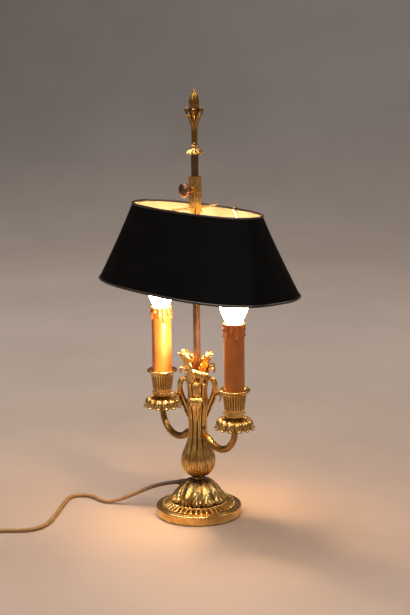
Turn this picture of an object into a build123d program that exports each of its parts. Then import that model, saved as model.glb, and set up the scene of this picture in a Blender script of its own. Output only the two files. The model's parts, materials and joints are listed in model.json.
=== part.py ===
from build123d import *

import os
from math import cos, pi, radians, sin, sqrt, tan

# Two-light bouillotte lamp. Millimetres, +Z up. The origin is the centre of the foot's
# underside, +X runs to the right-hand candle and -Y is the side of the thumb screw.

# ---------------------------------------------------------------- driving dimensions
# Fits
SEAT_GAP = 0.1  # radial clearance of a tube or sleeve in its seat
RUNNING_GAP = 0.05  # radial clearance of a turning shank or pivot
SLIDE_GAP = 0.12  # clearance on each face of the rod in its slide

# Foot
FOOT_RADIUS = 51.7
FOOT_TOP_RADIUS = 50.4
FOOT_BAND_HEIGHT = 11.8
FOOT_HEIGHT = 16.6
FOOT_WALL = 4.0
FLUTE_OUTER_RADIUS = 46.2
FLUTE_INNER_RADIUS = 35.0
FLUTES = 40
FLUTE_DEPTH = 1.7
FELT_THICKNESS = 1.6
FELT_PROUD = 0.4

# Tie rod that clamps the stack
TIE_RADIUS = 4.0
TIE_BORE_RADIUS = 2.6
WASHER_RADIUS = 9.0
WASHER_THICKNESS = 1.5
NUT_RADIUS = 7.5
NUT_HEIGHT = 4.0

# Slotted screws that pin the shade rod through the waist
PIN_HEAD_RADIUS = 2.7
PIN_HEAD_HEIGHT = 1.9
PIN_SHANK_RADIUS = 1.6
PIN_SEAT = 1.2  # depth of a head's flat seat

# Leaf dome
DOME_HEIGHT = 26.4
DOME_RADIUS = 30.6
DOME_LOBES = 14
DOME_WALL = 3.2

# Neck ring
NECK_HEIGHT = 2.6
NECK_RADIUS = 5.8

# Baluster
BELLY_RADIUS = 20.4
BELLY_HEIGHT = 20.5
WAIST_RADIUS = 11.3
WAIST_HEIGHT = 63.9
VASE_RADIUS = 12.0
BALUSTER_HEIGHT = 118.0
BALUSTER_RIBS = 12
CHAMBER_RADIUS = 6.4

# Shade rod, a square bar pinned in the baluster
ROD_SIDE = 6.0
ROD_SOCKET_DEPTH = 59.0
ROD_TOP = 436.2
ROD_SPIGOT_RADIUS = 2.0
ROD_SPIGOT_GRIP = 8.0  # thread that the finial takes up

# Scroll handles and leaf crown
HANDLES = 4
HANDLE_REACH = 24.2  # outermost face of a handle
HANDLE_THICKNESS = 6.0
HANDLE_RISE = 56.0  # top of the handle's middle line, above the waist
LEAF_FLARE = 8.5  # half width of the leaf that curls off a handle
CROWN_LEAVES = 4
CROWN_RISE = 36.0
CROWN_SPREAD = 21.0
TALL_SHARES = (0.93, 0.88, 0.96, 1.0)  # the tall leaves, bent by hand, from the one over the right arm

# Arms
ARM_REACH = 66.6
ARM_HEIGHT = 52.9  # where an arm leaves the baluster, above the baluster's foot
ARM_SWAY = 40.0  # degrees that the lower bend runs past its lowest point
ARM_COUNTER = 0.43  # small bend at the root, as a share of the main bend
ARM_STUB = 2.4  # straight length of the root outside the waist
ARM_ROOT_RADIUS = 4.6
ARM_TIP_RADIUS = 3.7
ARM_BORE_RADIUS = 2.4
ARM_BOSS_RADIUS = 6.6
ARM_BOSS_HEIGHT = 4.0
WIRE_RADIUS = 1.6

# Drip pans
PAN_RADIUS = 22.6
PAN_CREST_RADIUS = 15.5
PAN_HUB_HEIGHT = 8.0
PAN_CREST = 11.3
PAN_DROOP = 10.0
PAN_PETALS = 14
PAN_SHEET = 1.8
PETAL_GAP = 1.2

# Candle cups
CUP_HEIGHT = 38.7
CUP_FOOT_RADIUS = 8.0
CUP_NECK = 5.0
CUP_BEAD_RADIUS = 12.6
CUP_BASE_RADIUS = 11.8
CUP_BODY_RADIUS = 13.9
CUP_RIM_RADIUS = 18.5
CUP_FLOOR = 9.0
CUP_WALL = 1.3
CUP_FLUTES = 20
CUP_FLUTE_RADIUS = 1.1
CUP_BEAD_RISE = 5.5
CUP_FLARE = 7.0

# Candle sleeves
SLEEVE_RADIUS = 12.0
SLEEVE_WALL = 1.2
SLEEVE_LENGTH = 87.5
SLEEVE_SOCKET = 9.2  # how deep a sleeve stands in its cup
DRIPS = ((12, 13.5), (58, 9.0), (101, 16.0), (158, 11.0), (205, 15.0), (262, 9.5), (312, 14.0))
DRIP_RADIUS = 1.7
DRIP_LIP = 3.0

# E14 lamp holders and bulbs
HOLDER_RADIUS = 10.2
HOLDER_NECK_RADIUS = 8.1
HOLDER_LENGTH = 32.0
HOLDER_NECK = 9.0
HOLDER_DROP = 2.0  # holder's mouth below the sleeve's mouth
BRACKET_STRIP = 1.0
BRACKET_WIDTH = 6.0
CUP_NUT_RADIUS = 7.0
CUP_NUT_HEIGHT = 3.0
CAP_RADIUS = 6.9
CAP_LENGTH = 22.0
CAP_CONTACT = 1.5
BULB_RADIUS = 17.5
BULB_LENGTH = 75.0
BULB_WALL = 0.9

# Shade
SHADE_HEIGHT = 91.0
SHADE_BOTTOM = 280.6
SHADE_TOP_X = 106.4
SHADE_TOP_Y = 34.3
SHADE_BOTTOM_X = 146.0
SHADE_BOTTOM_Y = 73.8
SHADE_TOP_SQUARENESS = 2.4
SHADE_BOTTOM_SQUARENESS = 2.64
SHADE_SHEET = 0.9
BEAD_RADIUS = 1.5

# Slide, spider and clips that carry the shade
SLIDE_SIDE = 10.8
SLIDE_HEIGHT = 37.0
SLIDE_ABOVE_SHADE = 38.6
TONGUE_LENGTH = 17.0
TONGUE_WIDTH = 5.2
SPIDER_RADIUS = 1.2
CLIP_WIDTH = 3.3
CLIP_LENGTH = 11.0
CLIP_SHEET = 0.9
CLIP_SPACING = 66.0
CLIP_GAP = 0.25  # clearance round the rim's bead

# Thumb screw
SCREW_DROP = 15.2  # below the slide's top
SCREW_RADIUS = 2.0
BOSS_RADIUS = 3.6
BOSS_HEIGHT = 2.2
KNOB_RADIUS = 8.8
KNOB_THICKNESS = 4.6
KNOB_STANDOFF = 16.6
KNOB_SCALLOPS = 12

# Finial
COLLAR_HEIGHT = 10.6
COLLAR_RADIUS = 10.6
COLLAR_PETALS = 8
STEM_RADIUS = 3.7
STEM_HEIGHT = 21.0
CALYX_RADIUS = 5.9
CALYX_HEIGHT = 14.0
BUD_RADIUS = 5.7
BUD_HEIGHT = 29.0
SCROLLS = 4
SCROLL_RADIUS = 3.2
SCROLL_REACH = 7.4
SCROLL_WIDTH = 3.8

# Cord, its grommet, switch, coil and plug
CORD_RADIUS = 2.5
EXIT_AZIMUTH = 190.0
EXIT_SLOPE = -12.0
EXIT_RADIUS = 21.0
EXIT_HEIGHT = 17.9  # above the dome's foot
GROMMET_INSIDE = 9.0
GROMMET_OUTSIDE = 11.0
GROMMET_RADIUS = 4.2
GROMMET_TIP_RADIUS = 3.3
LEAD_FIRST_RUN = 12.2
LEAD_ROUTE = (
    (-60.0, -24.0, 24.5), (-80.0, -43.0, 11.5), (-96.0, -58.5, 2.6),
    (-110.0, -66.0, 2.5), (-126.0, -63.0, 2.5), (-143.0, -67.5, 2.5), (-149.5, -84.5, 2.5),
    (-137.0, -102.0, 2.5), (-120.0, -121.0, 2.5), (-102.0, -142.0, 2.5), (-87.0, -161.0, 2.5),
    (-79.5, -178.0, 2.5), (-83.0, -195.0, 2.5), (-95.0, -208.0, 2.5), (-107.0, -222.0, 2.5),
)
SWITCH_ENTRY = (-114.1, -232.9)
SWITCH_HEADING = 237.0
SWITCH_CORD_HEIGHT = 5.0
TAIL_ROUTE = (
    (-166.0, -312.5, 2.5), (-189.0, -310.5, 2.5), (-207.0, -294.0, 2.5),
    (-216.0, -273.0, 2.5), (-221.4, -255.0, 2.5),
)
COIL_CENTRE = (-188.5, -243.0)
COIL_MID_RADIUS = 27.5
COIL_TURNS_WIDE = 4
COIL_LAYERS = 2
PLUG_ROUTE = ((-220.9, -245.8, 6.85), (-222.7, -225.0, 6.85), (-227.5, -209.0, 6.85), (-236.0, -193.0, 6.85))
PLUG_HEADING = 118.0

# Inline switch
SWITCH_LENGTH = 58.0
SWITCH_WIDTH = 26.0
SWITCH_HEIGHT = 15.0
SWITCH_SPLIT = 7.0
SWITCH_WALL = 1.6
SWITCH_CORNER = 5.0
SWITCH_NECK_LENGTH = 8.0
SWITCH_NECK_RADIUS = 4.2
ROCKER_RADIUS = 8.5
ROCKER_WIDTH = 8.6
ROCKER_PIVOT_HEIGHT = 11.0
ROCKER_TILT = 10.0
ROCKER_PIVOT_RADIUS = 1.2
ROCKER_GAP = 0.4
LUG_THICKNESS = 2.0

# Plug
PLUG_LENGTH = 34.0
PLUG_WIDTH = 35.0
PLUG_THICKNESS = 13.7
PLUG_RELIEF_LENGTH = 12.0
PIN_RADIUS = 2.0
PIN_LENGTH = 19.0
PIN_SPACING = 18.6

# ---------------------------------------------------------------- levels and places
FOOT_UNDERSIDE = FELT_PROUD
PLATE_UNDERSIDE = FOOT_HEIGHT - FOOT_WALL
BOSS_UNDERSIDE = FOOT_HEIGHT - 2 * FOOT_WALL
DOME_TOP = FOOT_HEIGHT + DOME_HEIGHT
BALUSTER_FOOT = DOME_TOP + NECK_HEIGHT
BELLY_LEVEL = BALUSTER_FOOT + BELLY_HEIGHT
WAIST_LEVEL = BALUSTER_FOOT + WAIST_HEIGHT
BALUSTER_TOP = BALUSTER_FOOT + BALUSTER_HEIGHT
ROD_FOOT = BALUSTER_TOP - ROD_SOCKET_DEPTH
TIE_TOP = BELLY_LEVEL - 6.0
ARM_LEVEL = BALUSTER_FOOT + ARM_HEIGHT

sway = radians(ARM_SWAY)
ARM_BEND = (ARM_REACH - WAIST_RADIUS - ARM_STUB) / (1 + (1 + ARM_COUNTER) * sin(sway))
ARM_ROOT_BEND = ARM_COUNTER * ARM_BEND
BEND_LEVEL = ARM_LEVEL + ARM_BEND * cos(sway) - ARM_ROOT_BEND * (1 - cos(sway))
SEAT_LEVEL = BEND_LEVEL + ARM_BOSS_HEIGHT
CUP_FOOT = SEAT_LEVEL + PAN_HUB_HEIGHT
CUP_TOP = CUP_FOOT + CUP_HEIGHT
CUP_INSIDE = CUP_FOOT + CUP_FLOOR
SLEEVE_FOOT = CUP_TOP - SLEEVE_SOCKET
SLEEVE_TOP = SLEEVE_FOOT + SLEEVE_LENGTH
HOLDER_TOP = SLEEVE_TOP - HOLDER_DROP
HOLDER_FOOT = HOLDER_TOP - HOLDER_LENGTH
NIPPLE_TOP = CUP_INSIDE + BRACKET_STRIP + CUP_NUT_HEIGHT + 1.0
NIPPLE_FOOT = SEAT_LEVEL - 0.6 * ARM_BOSS_HEIGHT

SHADE_TOP = SHADE_BOTTOM + SHADE_HEIGHT
SLIDE_TOP = SHADE_TOP + SLIDE_ABOVE_SHADE
SLIDE_FOOT = SLIDE_TOP - SLIDE_HEIGHT
TONGUE_TIP = SLIDE_FOOT - TONGUE_LENGTH
SPIDER_LEVEL = SHADE_TOP + SPIDER_RADIUS + 0.6
SCREW_LEVEL = SLIDE_TOP - SCREW_DROP

SIDES = (("right", 0), ("left", 180))


def lobed_points(radius, depth, lobes):
    """Points of an outline that waves in and out of its radius once for each lobe."""
    waves = [
        (radius + (depth / 2 if k % 2 else -depth / 2), radians(k * 180 / lobes)) for k in range(2 * lobes)
    ]
    return [(r * cos(a), r * sin(a)) for r, a in waves]


def oval_points(half_x, half_y, squareness, count=24):
    """Points of a superellipse, the shade's plan."""
    turns = [2 * pi * k / count for k in range(count)]

    def along(value, half):
        return half * abs(value) ** (2 / squareness) * (1 if value > 0 else -1)

    return [(along(cos(t), half_x), along(sin(t), half_y)) for t in turns]


def bend_radii(points):
    """For each inner point of a route, the largest arc that its two runs allow."""
    route = [Vector(*p) for p in points]
    radii = []
    for before, here, after in zip(route, route[1:], route[2:]):
        run_in = here - before
        run_out = after - here
        turn = run_in.get_angle(run_out)
        radii.append(0.45 * min(run_in.length, run_out.length) / tan(radians(turn / 2)))
    return radii


def cord_tube(name, points):
    """Round cord along straight runs joined by tangent arcs."""
    radii = bend_radii(points)
    with BuildPart() as tube:
        with BuildLine() as route:
            FilletPolyline(*points, radius=radii)
        middle_line = route.wires()[0]
        with BuildSketch(Plane(origin=middle_line @ 0, z_dir=middle_line % 0)):
            Circle(CORD_RADIUS)
        sweep(path=middle_line)
    expected = pi * CORD_RADIUS**2 * middle_line.length
    print(name, "length", round(middle_line.length, 1), "volume ratio", round(tube.part.volume / expected, 4))
    print(name, "radii", [round(r, 1) for r in radii])
    return tube


# ---------------------------------------------------------------- foot and its fastening
with BuildPart() as flute_cutter:
    # Round-nosed taper lying on the slope between the foot's ledge and its plateau
    slope_start = Vector(FLUTE_OUTER_RADIUS - 2.0, 0, FOOT_BAND_HEIGHT + 1.2)
    slope_end = Vector(FLUTE_INNER_RADIUS + 0.8, 0, FOOT_HEIGHT + 0.8)
    with BuildSketch(Plane(origin=slope_start, x_dir=(0, 1, 0), z_dir=slope_end - slope_start)):
        Circle(FLUTE_DEPTH * 1.35)
    with BuildSketch(Plane(origin=slope_end, x_dir=(0, 1, 0), z_dir=slope_end - slope_start)):
        Circle(FLUTE_DEPTH)
    loft()
    with Locations(slope_start):
        Sphere(FLUTE_DEPTH * 1.35)

with BuildPart() as foot:
    with BuildSketch(Plane.XZ):
        with BuildLine():
            Polyline(
                (TIE_RADIUS + SEAT_GAP, BOSS_UNDERSIDE),
                (WASHER_RADIUS + 1, BOSS_UNDERSIDE),
                (WASHER_RADIUS + 3, PLATE_UNDERSIDE),
                (FLUTE_INNER_RADIUS - FOOT_WALL / 2, PLATE_UNDERSIDE),
                (FLUTE_OUTER_RADIUS, FOOT_BAND_HEIGHT - FOOT_WALL),
                (FOOT_RADIUS - FOOT_WALL, FELT_THICKNESS),
                (FOOT_RADIUS - FOOT_WALL / 2, FELT_THICKNESS),
                (FOOT_RADIUS - FOOT_WALL / 2, FOOT_UNDERSIDE),
                (FOOT_RADIUS - 0.8, FOOT_UNDERSIDE),
                (FOOT_RADIUS, FOOT_UNDERSIDE + 1.2),
                (FOOT_TOP_RADIUS + 0.3, FOOT_BAND_HEIGHT - 1.2),
                (FOOT_TOP_RADIUS - 0.8, FOOT_BAND_HEIGHT),
                (FOOT_TOP_RADIUS - 1.4, FOOT_BAND_HEIGHT - 0.7),
                (FOOT_TOP_RADIUS - 2.0, FOOT_BAND_HEIGHT),
                (FLUTE_OUTER_RADIUS, FOOT_BAND_HEIGHT),
            )
            ThreePointArc(
                (FLUTE_OUTER_RADIUS, FOOT_BAND_HEIGHT),
                (
                    0.5 * (FLUTE_OUTER_RADIUS + FLUTE_INNER_RADIUS) + 0.6,
                    0.5 * (FOOT_BAND_HEIGHT + FOOT_HEIGHT) + 1.1,
                ),
                (FLUTE_INNER_RADIUS, FOOT_HEIGHT),
            )
            Polyline(
                (FLUTE_INNER_RADIUS, FOOT_HEIGHT),
                (TIE_RADIUS + SEAT_GAP, FOOT_HEIGHT),
                (TIE_RADIUS + SEAT_GAP, BOSS_UNDERSIDE),
            )
        make_face()
    revolve(axis=Axis.Z)
    with PolarLocations(0, FLUTES):
        add(flute_cutter.part, mode=Mode.SUBTRACT)
foot.part.label = "foot"
export_step(foot.part, "parts/foot.step")

with BuildPart() as foot_felt:
    Cylinder(
        FOOT_RADIUS - FOOT_WALL / 2 - SEAT_GAP,
        FELT_THICKNESS,
        align=(Align.CENTER, Align.CENTER, Align.MIN),
    )
foot_felt.part.label = "foot_felt"
export_step(foot_felt.part, "parts/foot_felt.step")

with BuildPart() as base_washer:
    with BuildSketch(Plane.XY.offset(BOSS_UNDERSIDE)):
        Circle(WASHER_RADIUS)
        Circle(TIE_RADIUS + SEAT_GAP, mode=Mode.SUBTRACT)
    extrude(amount=-WASHER_THICKNESS)
base_washer.part.label = "base_washer"
export_step(base_washer.part, "parts/base_washer.step")

with BuildPart() as base_nut:
    with BuildSketch(Plane.XY.offset(BOSS_UNDERSIDE - WASHER_THICKNESS)):
        RegularPolygon(NUT_RADIUS, 6)
        Circle(TIE_RADIUS, mode=Mode.SUBTRACT)
    extrude(amount=-NUT_HEIGHT)
base_nut.part.label = "base_nut"
export_step(base_nut.part, "parts/base_nut.step")

with BuildPart() as tie_rod:
    with BuildSketch(Plane.XY.offset(BOSS_UNDERSIDE - WASHER_THICKNESS - NUT_HEIGHT)):
        Circle(TIE_RADIUS)
        Circle(TIE_BORE_RADIUS, mode=Mode.SUBTRACT)
    extrude(amount=TIE_TOP - BOSS_UNDERSIDE + WASHER_THICKNESS + NUT_HEIGHT)
tie_rod.part.label = "tie_rod"
export_step(tie_rod.part, "parts/tie_rod.step")

# ---------------------------------------------------------------- grommet axis at the dome's back
exit_turn = radians(EXIT_AZIMUTH)
exit_tilt = radians(EXIT_SLOPE)
EXIT_POINT = Vector(EXIT_RADIUS * cos(exit_turn), EXIT_RADIUS * sin(exit_turn), FOOT_HEIGHT + EXIT_HEIGHT)
EXIT_DIRECTION = Vector(
    cos(exit_turn) * cos(exit_tilt), sin(exit_turn) * cos(exit_tilt), sin(exit_tilt)
)
CORD_START = EXIT_POINT + EXIT_DIRECTION * GROMMET_OUTSIDE
GROMMET_PLANE = Plane(origin=EXIT_POINT - EXIT_DIRECTION * GROMMET_INSIDE, z_dir=EXIT_DIRECTION)

# Height above the dome's foot, radius and lobe depth of each section, as shares
DOME_SECTIONS = (
    (0.0, 0.95, 0.07), (0.12, 1.03, 0.12), (0.32, 1.0, 0.12), (0.52, 0.93, 0.11),
    (0.7, 0.81, 0.1), (0.86, 0.62, 0.07), (1.0, 0.4, 0.03),
)

with BuildPart() as leaf_dome:
    for height, spread, wave in DOME_SECTIONS:
        with BuildSketch(Plane.XY.offset(FOOT_HEIGHT + height * DOME_HEIGHT)):
            with BuildLine():
                Spline(*lobed_points(spread * DOME_RADIUS, wave * DOME_RADIUS, DOME_LOBES), periodic=True)
            make_face()
    loft()
    with BuildSketch(Plane.XZ):
        with BuildLine():
            Polyline(
                (0, FOOT_HEIGHT),
                (0.85 * DOME_RADIUS - DOME_WALL, FOOT_HEIGHT),
                (0.85 * DOME_RADIUS - DOME_WALL, FOOT_HEIGHT + 0.45 * DOME_HEIGHT),
                (0.55 * DOME_RADIUS - DOME_WALL, FOOT_HEIGHT + 0.82 * DOME_HEIGHT),
                (0, FOOT_HEIGHT + 0.82 * DOME_HEIGHT),
                close=True,
            )
        make_face()
    revolve(axis=Axis.Z, mode=Mode.SUBTRACT)
    with BuildSketch(Plane.XY.offset(FOOT_HEIGHT)):
        Circle(TIE_RADIUS + SEAT_GAP)
    extrude(amount=DOME_HEIGHT, mode=Mode.SUBTRACT)
    with BuildSketch(GROMMET_PLANE):
        Circle(GROMMET_RADIUS)
    extrude(amount=GROMMET_INSIDE + GROMMET_OUTSIDE, mode=Mode.SUBTRACT)
leaf_dome.part.label = "leaf_dome"
export_step(leaf_dome.part, "parts/leaf_dome.step")

with BuildPart() as cord_grommet:
    with BuildSketch(GROMMET_PLANE):
        Circle(GROMMET_RADIUS)
    extrude(amount=GROMMET_INSIDE + 2.0)
    with BuildSketch(GROMMET_PLANE.offset(GROMMET_INSIDE + 2.0)):
        Circle(GROMMET_RADIUS)
    with BuildSketch(GROMMET_PLANE.offset(GROMMET_INSIDE + GROMMET_OUTSIDE)):
        Circle(GROMMET_TIP_RADIUS)
    loft()
cord_grommet.part.label = "cord_grommet"
export_step(cord_grommet.part, "parts/cord_grommet.step")

with BuildPart() as neck_ring:
    with BuildSketch(Plane.XZ):
        with BuildLine():
            Line((TIE_RADIUS + SEAT_GAP, DOME_TOP), (NECK_RADIUS - 0.4, DOME_TOP))
            ThreePointArc(
                (NECK_RADIUS - 0.4, DOME_TOP),
                (NECK_RADIUS + 0.6, DOME_TOP + NECK_HEIGHT / 2),
                (NECK_RADIUS - 0.4, BALUSTER_FOOT),
            )
            Line((NECK_RADIUS - 0.4, BALUSTER_FOOT), (TIE_RADIUS + SEAT_GAP, BALUSTER_FOOT))
            Line((TIE_RADIUS + SEAT_GAP, BALUSTER_FOOT), (TIE_RADIUS + SEAT_GAP, DOME_TOP))
        make_face()
    revolve(axis=Axis.Z)
neck_ring.part.label = "neck_ring"
export_step(neck_ring.part, "parts/neck_ring.step")

# ---------------------------------------------------------------- baluster
# Level, radius and rib depth of each section of the ribbed casting
BALUSTER_SECTIONS = (
    (BALUSTER_FOOT, NECK_RADIUS + 0.6, 0.1),
    (BALUSTER_FOOT + 0.12 * BELLY_HEIGHT, 0.48 * BELLY_RADIUS, 0.5),
    (BALUSTER_FOOT + 0.4 * BELLY_HEIGHT, 0.78 * BELLY_RADIUS, 0.9),
    (BALUSTER_FOOT + 0.7 * BELLY_HEIGHT, 0.95 * BELLY_RADIUS, 1.1),
    (BELLY_LEVEL, BELLY_RADIUS, 1.2),
    (BELLY_LEVEL + 0.18 * (WAIST_LEVEL - BELLY_LEVEL), 0.93 * BELLY_RADIUS, 1.4),
    (BELLY_LEVEL + 0.42 * (WAIST_LEVEL - BELLY_LEVEL), 0.7 * BELLY_RADIUS, 1.5),
    (BELLY_LEVEL + 0.7 * (WAIST_LEVEL - BELLY_LEVEL), 0.35 * BELLY_RADIUS + 0.45 * WAIST_RADIUS, 1.3),
    (WAIST_LEVEL, WAIST_RADIUS, 1.2),
    (WAIST_LEVEL + 0.2 * (BALUSTER_TOP - WAIST_LEVEL), VASE_RADIUS - 0.2, 1.3),
    (WAIST_LEVEL + 0.4 * (BALUSTER_TOP - WAIST_LEVEL), VASE_RADIUS, 1.3),
    (WAIST_LEVEL + 0.6 * (BALUSTER_TOP - WAIST_LEVEL), VASE_RADIUS - 0.3, 1.2),
    (WAIST_LEVEL + 0.8 * (BALUSTER_TOP - WAIST_LEVEL), VASE_RADIUS - 0.1, 1.2),
    (BALUSTER_TOP, VASE_RADIUS + 0.8, 1.2),
)

with BuildPart() as baluster_form:
    for level, radius, rib in BALUSTER_SECTIONS:
        with BuildSketch(Plane.XY.offset(level)):
            with BuildLine():
                Spline(*lobed_points(radius, rib, BALUSTER_RIBS), periodic=True)
            make_face()
    loft()

with BuildPart() as baluster:
    add(baluster_form.part)
    # Wire chamber over the tie rod's socket
    with BuildSketch(Plane.XZ):
        with BuildLine():
            Polyline(
                (0, BALUSTER_FOOT),
                (TIE_RADIUS, BALUSTER_FOOT),
                (TIE_RADIUS, TIE_TOP),
                (CHAMBER_RADIUS, TIE_TOP + 4),
                (CHAMBER_RADIUS, ROD_FOOT - 1),
                (0, ROD_FOOT - 1),
                close=True,
            )
        make_face()
    revolve(axis=Axis.Z, mode=Mode.SUBTRACT)
    with BuildSketch(Plane.XY.offset(ROD_FOOT)):
        Rectangle(ROD_SIDE, ROD_SIDE)
    extrude(amount=ROD_SOCKET_DEPTH, mode=Mode.SUBTRACT)
    # Arm sockets
    with BuildSketch(Plane.YZ):
        with Locations((0, ARM_LEVEL)):
            Circle(ARM_ROOT_RADIUS)
    extrude(amount=2 * WAIST_RADIUS, both=True, mode=Mode.SUBTRACT)
    # Holes and flat seats of the two screws that pin the rod
    for out in (1, -1):
        seat = Plane(origin=(out * (WAIST_RADIUS - PIN_SEAT), 0, WAIST_LEVEL), z_dir=(out, 0, 0))
        with BuildSketch(seat):
            Circle(PIN_HEAD_RADIUS)
        extrude(amount=2 * PIN_SEAT, mode=Mode.SUBTRACT)
        with BuildSketch(seat):
            Circle(PIN_SHANK_RADIUS)
        extrude(amount=-(WAIST_RADIUS - PIN_SEAT - ROD_SIDE / 2), mode=Mode.SUBTRACT)
baluster.part.label = "baluster"
export_step(baluster.part, "parts/baluster.step")

with BuildPart() as rod_screws:
    for out in (1, -1):
        seat = Plane(origin=(out * (WAIST_RADIUS - PIN_SEAT), 0, WAIST_LEVEL), z_dir=(out, 0, 0))
        with BuildSketch(seat):
            Circle(PIN_HEAD_RADIUS)
        extrude(amount=PIN_HEAD_HEIGHT)
        with BuildSketch(seat):
            Circle(PIN_SHANK_RADIUS)
        extrude(amount=-(WAIST_RADIUS - PIN_SEAT - ROD_SIDE / 2))
        with BuildSketch(seat.offset(PIN_HEAD_HEIGHT)):
            Rectangle(2 * PIN_HEAD_RADIUS, 0.7)
        extrude(amount=-0.7, mode=Mode.SUBTRACT)
rod_screws.part.label = "rod_screws"
export_step(rod_screws.part, "parts/rod_screws.step")

with BuildPart() as shade_rod:
    with BuildSketch(Plane.XY.offset(ROD_FOOT)):
        Rectangle(ROD_SIDE, ROD_SIDE)
    extrude(amount=ROD_TOP - ROD_FOOT)
    with BuildSketch(Plane.XY.offset(ROD_TOP)):
        Circle(ROD_SPIGOT_RADIUS)
    extrude(amount=COLLAR_HEIGHT + ROD_SPIGOT_GRIP)
shade_rod.part.label = "shade_rod"
export_step(shade_rod.part, "parts/shade_rod.step")

# ---------------------------------------------------------------- scroll handles
# Shares of the middle line's reach and rise, then width and share of the thickness, of each
# station of a handle. It springs from the shaft, swells and curls back over into the vase.
HANDLE_LINE = HANDLE_REACH - HANDLE_THICKNESS / 2
HANDLE_STATIONS = (
    (0.44, 0.14, 6.5, 0.76), (0.70, 0.35, 7.5, 0.9), (0.93, 0.57, 8.0, 1.0), (1.0, 0.75, 8.0, 1.0),
    (0.95, 0.91, 7.0, 0.96), (0.78, 1.0, 6.5, 0.9), (0.54, 0.97, 6.0, 0.8),
)
# The same shares of the line of the leaf that curls off its shoulder, and shares of the flare
LEAF_STATIONS = ((0.86, 0.46, 0.4), (1.04, 0.62, 0.85), (1.13, 0.73, 1.0), (1.22, 0.77, 0.4))


def station_planes(points):
    """A plane across a path at each of its points, which lie in the XZ plane."""
    planes = []
    for k, (reach, level) in enumerate(points):
        before = points[max(k - 1, 0)]
        after = points[min(k + 1, len(points) - 1)]
        run = (after[0] - before[0], 0, after[1] - before[1])
        planes.append(Plane(origin=(reach, 0, level), x_dir=(0, 1, 0), z_dir=run))
    return planes


with BuildPart() as handle:
    handle_points = [
        (reach * HANDLE_LINE, WAIST_LEVEL + rise * HANDLE_RISE) for reach, rise, _, _ in HANDLE_STATIONS
    ]
    for plane, (_, _, width, share) in zip(station_planes(handle_points), HANDLE_STATIONS):
        with BuildSketch(plane):
            Ellipse(width / 2, share * HANDLE_THICKNESS / 2)
    loft()
    tip_points = [
        (reach * HANDLE_LINE, WAIST_LEVEL + rise * HANDLE_RISE) for reach, rise, _ in LEAF_STATIONS
    ]
    for plane, (_, _, share) in zip(station_planes(tip_points), LEAF_STATIONS):
        with BuildSketch(plane):
            Ellipse(share * LEAF_FLARE, 1.2)
    loft()
    add(baluster_form.part, rotation=(0, 0, -180 / HANDLES), mode=Mode.SUBTRACT)

with BuildPart() as handle_set:
    with PolarLocations(0, HANDLES, start_angle=180 / HANDLES):
        add(handle.part)

for number in range(HANDLES):
    turn = (number + 0.5) * 360 / HANDLES
    with BuildPart() as scroll_handle:
        add(handle.part, rotation=(0, 0, turn))
    scroll_handle.part.label = f"scroll_handle_{number + 1}"
    export_step(scroll_handle.part, f"parts/scroll_handle_{number + 1}.step")

# ---------------------------------------------------------------- leaf crown
# Shares of the crown's spread and rise, width and thickness of each station of a leaf
TALL_LEAF = (
    (0.54, 0.03, 11.0, 3.4), (0.58, 0.34, 13.0, 2.8), (0.6, 0.62, 12.0, 2.4),
    (0.7, 0.88, 9.0, 2.0), (1.0, 1.0, 3.6, 1.5),
)
LOW_LEAF = (
    (0.54, 0.03, 11.0, 3.4), (0.66, 0.2, 14.5, 2.8), (0.74, 0.36, 15.5, 2.4), (0.93, 0.43, 9.0, 1.8),
)


def leaf(stations, share):
    """A curling leaf lofted through ellipses across its midrib, bent to a share of the full rise."""
    points = [
        (reach * CROWN_SPREAD, BALUSTER_TOP + rise * share * CROWN_RISE) for reach, rise, _, _ in stations
    ]
    with BuildPart(mode=Mode.PRIVATE) as blade:
        for plane, (_, _, width, thickness) in zip(station_planes(points), stations):
            with BuildSketch(plane):
                Ellipse(width / 2, thickness / 2)
        loft()
    return blade.part


low_leaf = leaf(LOW_LEAF, 1.0)

with BuildPart() as leaf_crown:
    with BuildSketch(Plane.XY.offset(BALUSTER_TOP)):
        Circle(VASE_RADIUS + 0.6)
        Rectangle(ROD_SIDE + 2 * SEAT_GAP, ROD_SIDE + 2 * SEAT_GAP, mode=Mode.SUBTRACT)
    extrude(amount=3.0)
    for number, share in enumerate(TALL_SHARES):
        add(leaf(TALL_LEAF, share), rotation=(0, 0, number * 360 / CROWN_LEAVES))
    with PolarLocations(0, CROWN_LEAVES, start_angle=180 / CROWN_LEAVES):
        add(low_leaf)
    split(bisect_by=Plane.XY.offset(BALUSTER_TOP), keep=Keep.TOP)
    add(handle_set.part, mode=Mode.SUBTRACT)
leaf_crown.part.label = "leaf_crown"
export_step(leaf_crown.part, "parts/leaf_crown.step")

# ---------------------------------------------------------------- arms
ARM_ARC_X = ARM_REACH - ARM_BEND
ARM_MOUTH = (ARM_REACH, BEND_LEVEL)
ARM_LOW_END = (ARM_ARC_X - ARM_BEND * sin(sway), BEND_LEVEL - ARM_BEND * cos(sway))
ARM_ENTRY = (ARM_LOW_END[0] - ARM_ROOT_BEND * sin(sway), ARM_LEVEL)
ARM_TAIL = (CHAMBER_RADIUS + 1.0, ARM_LEVEL)

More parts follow.
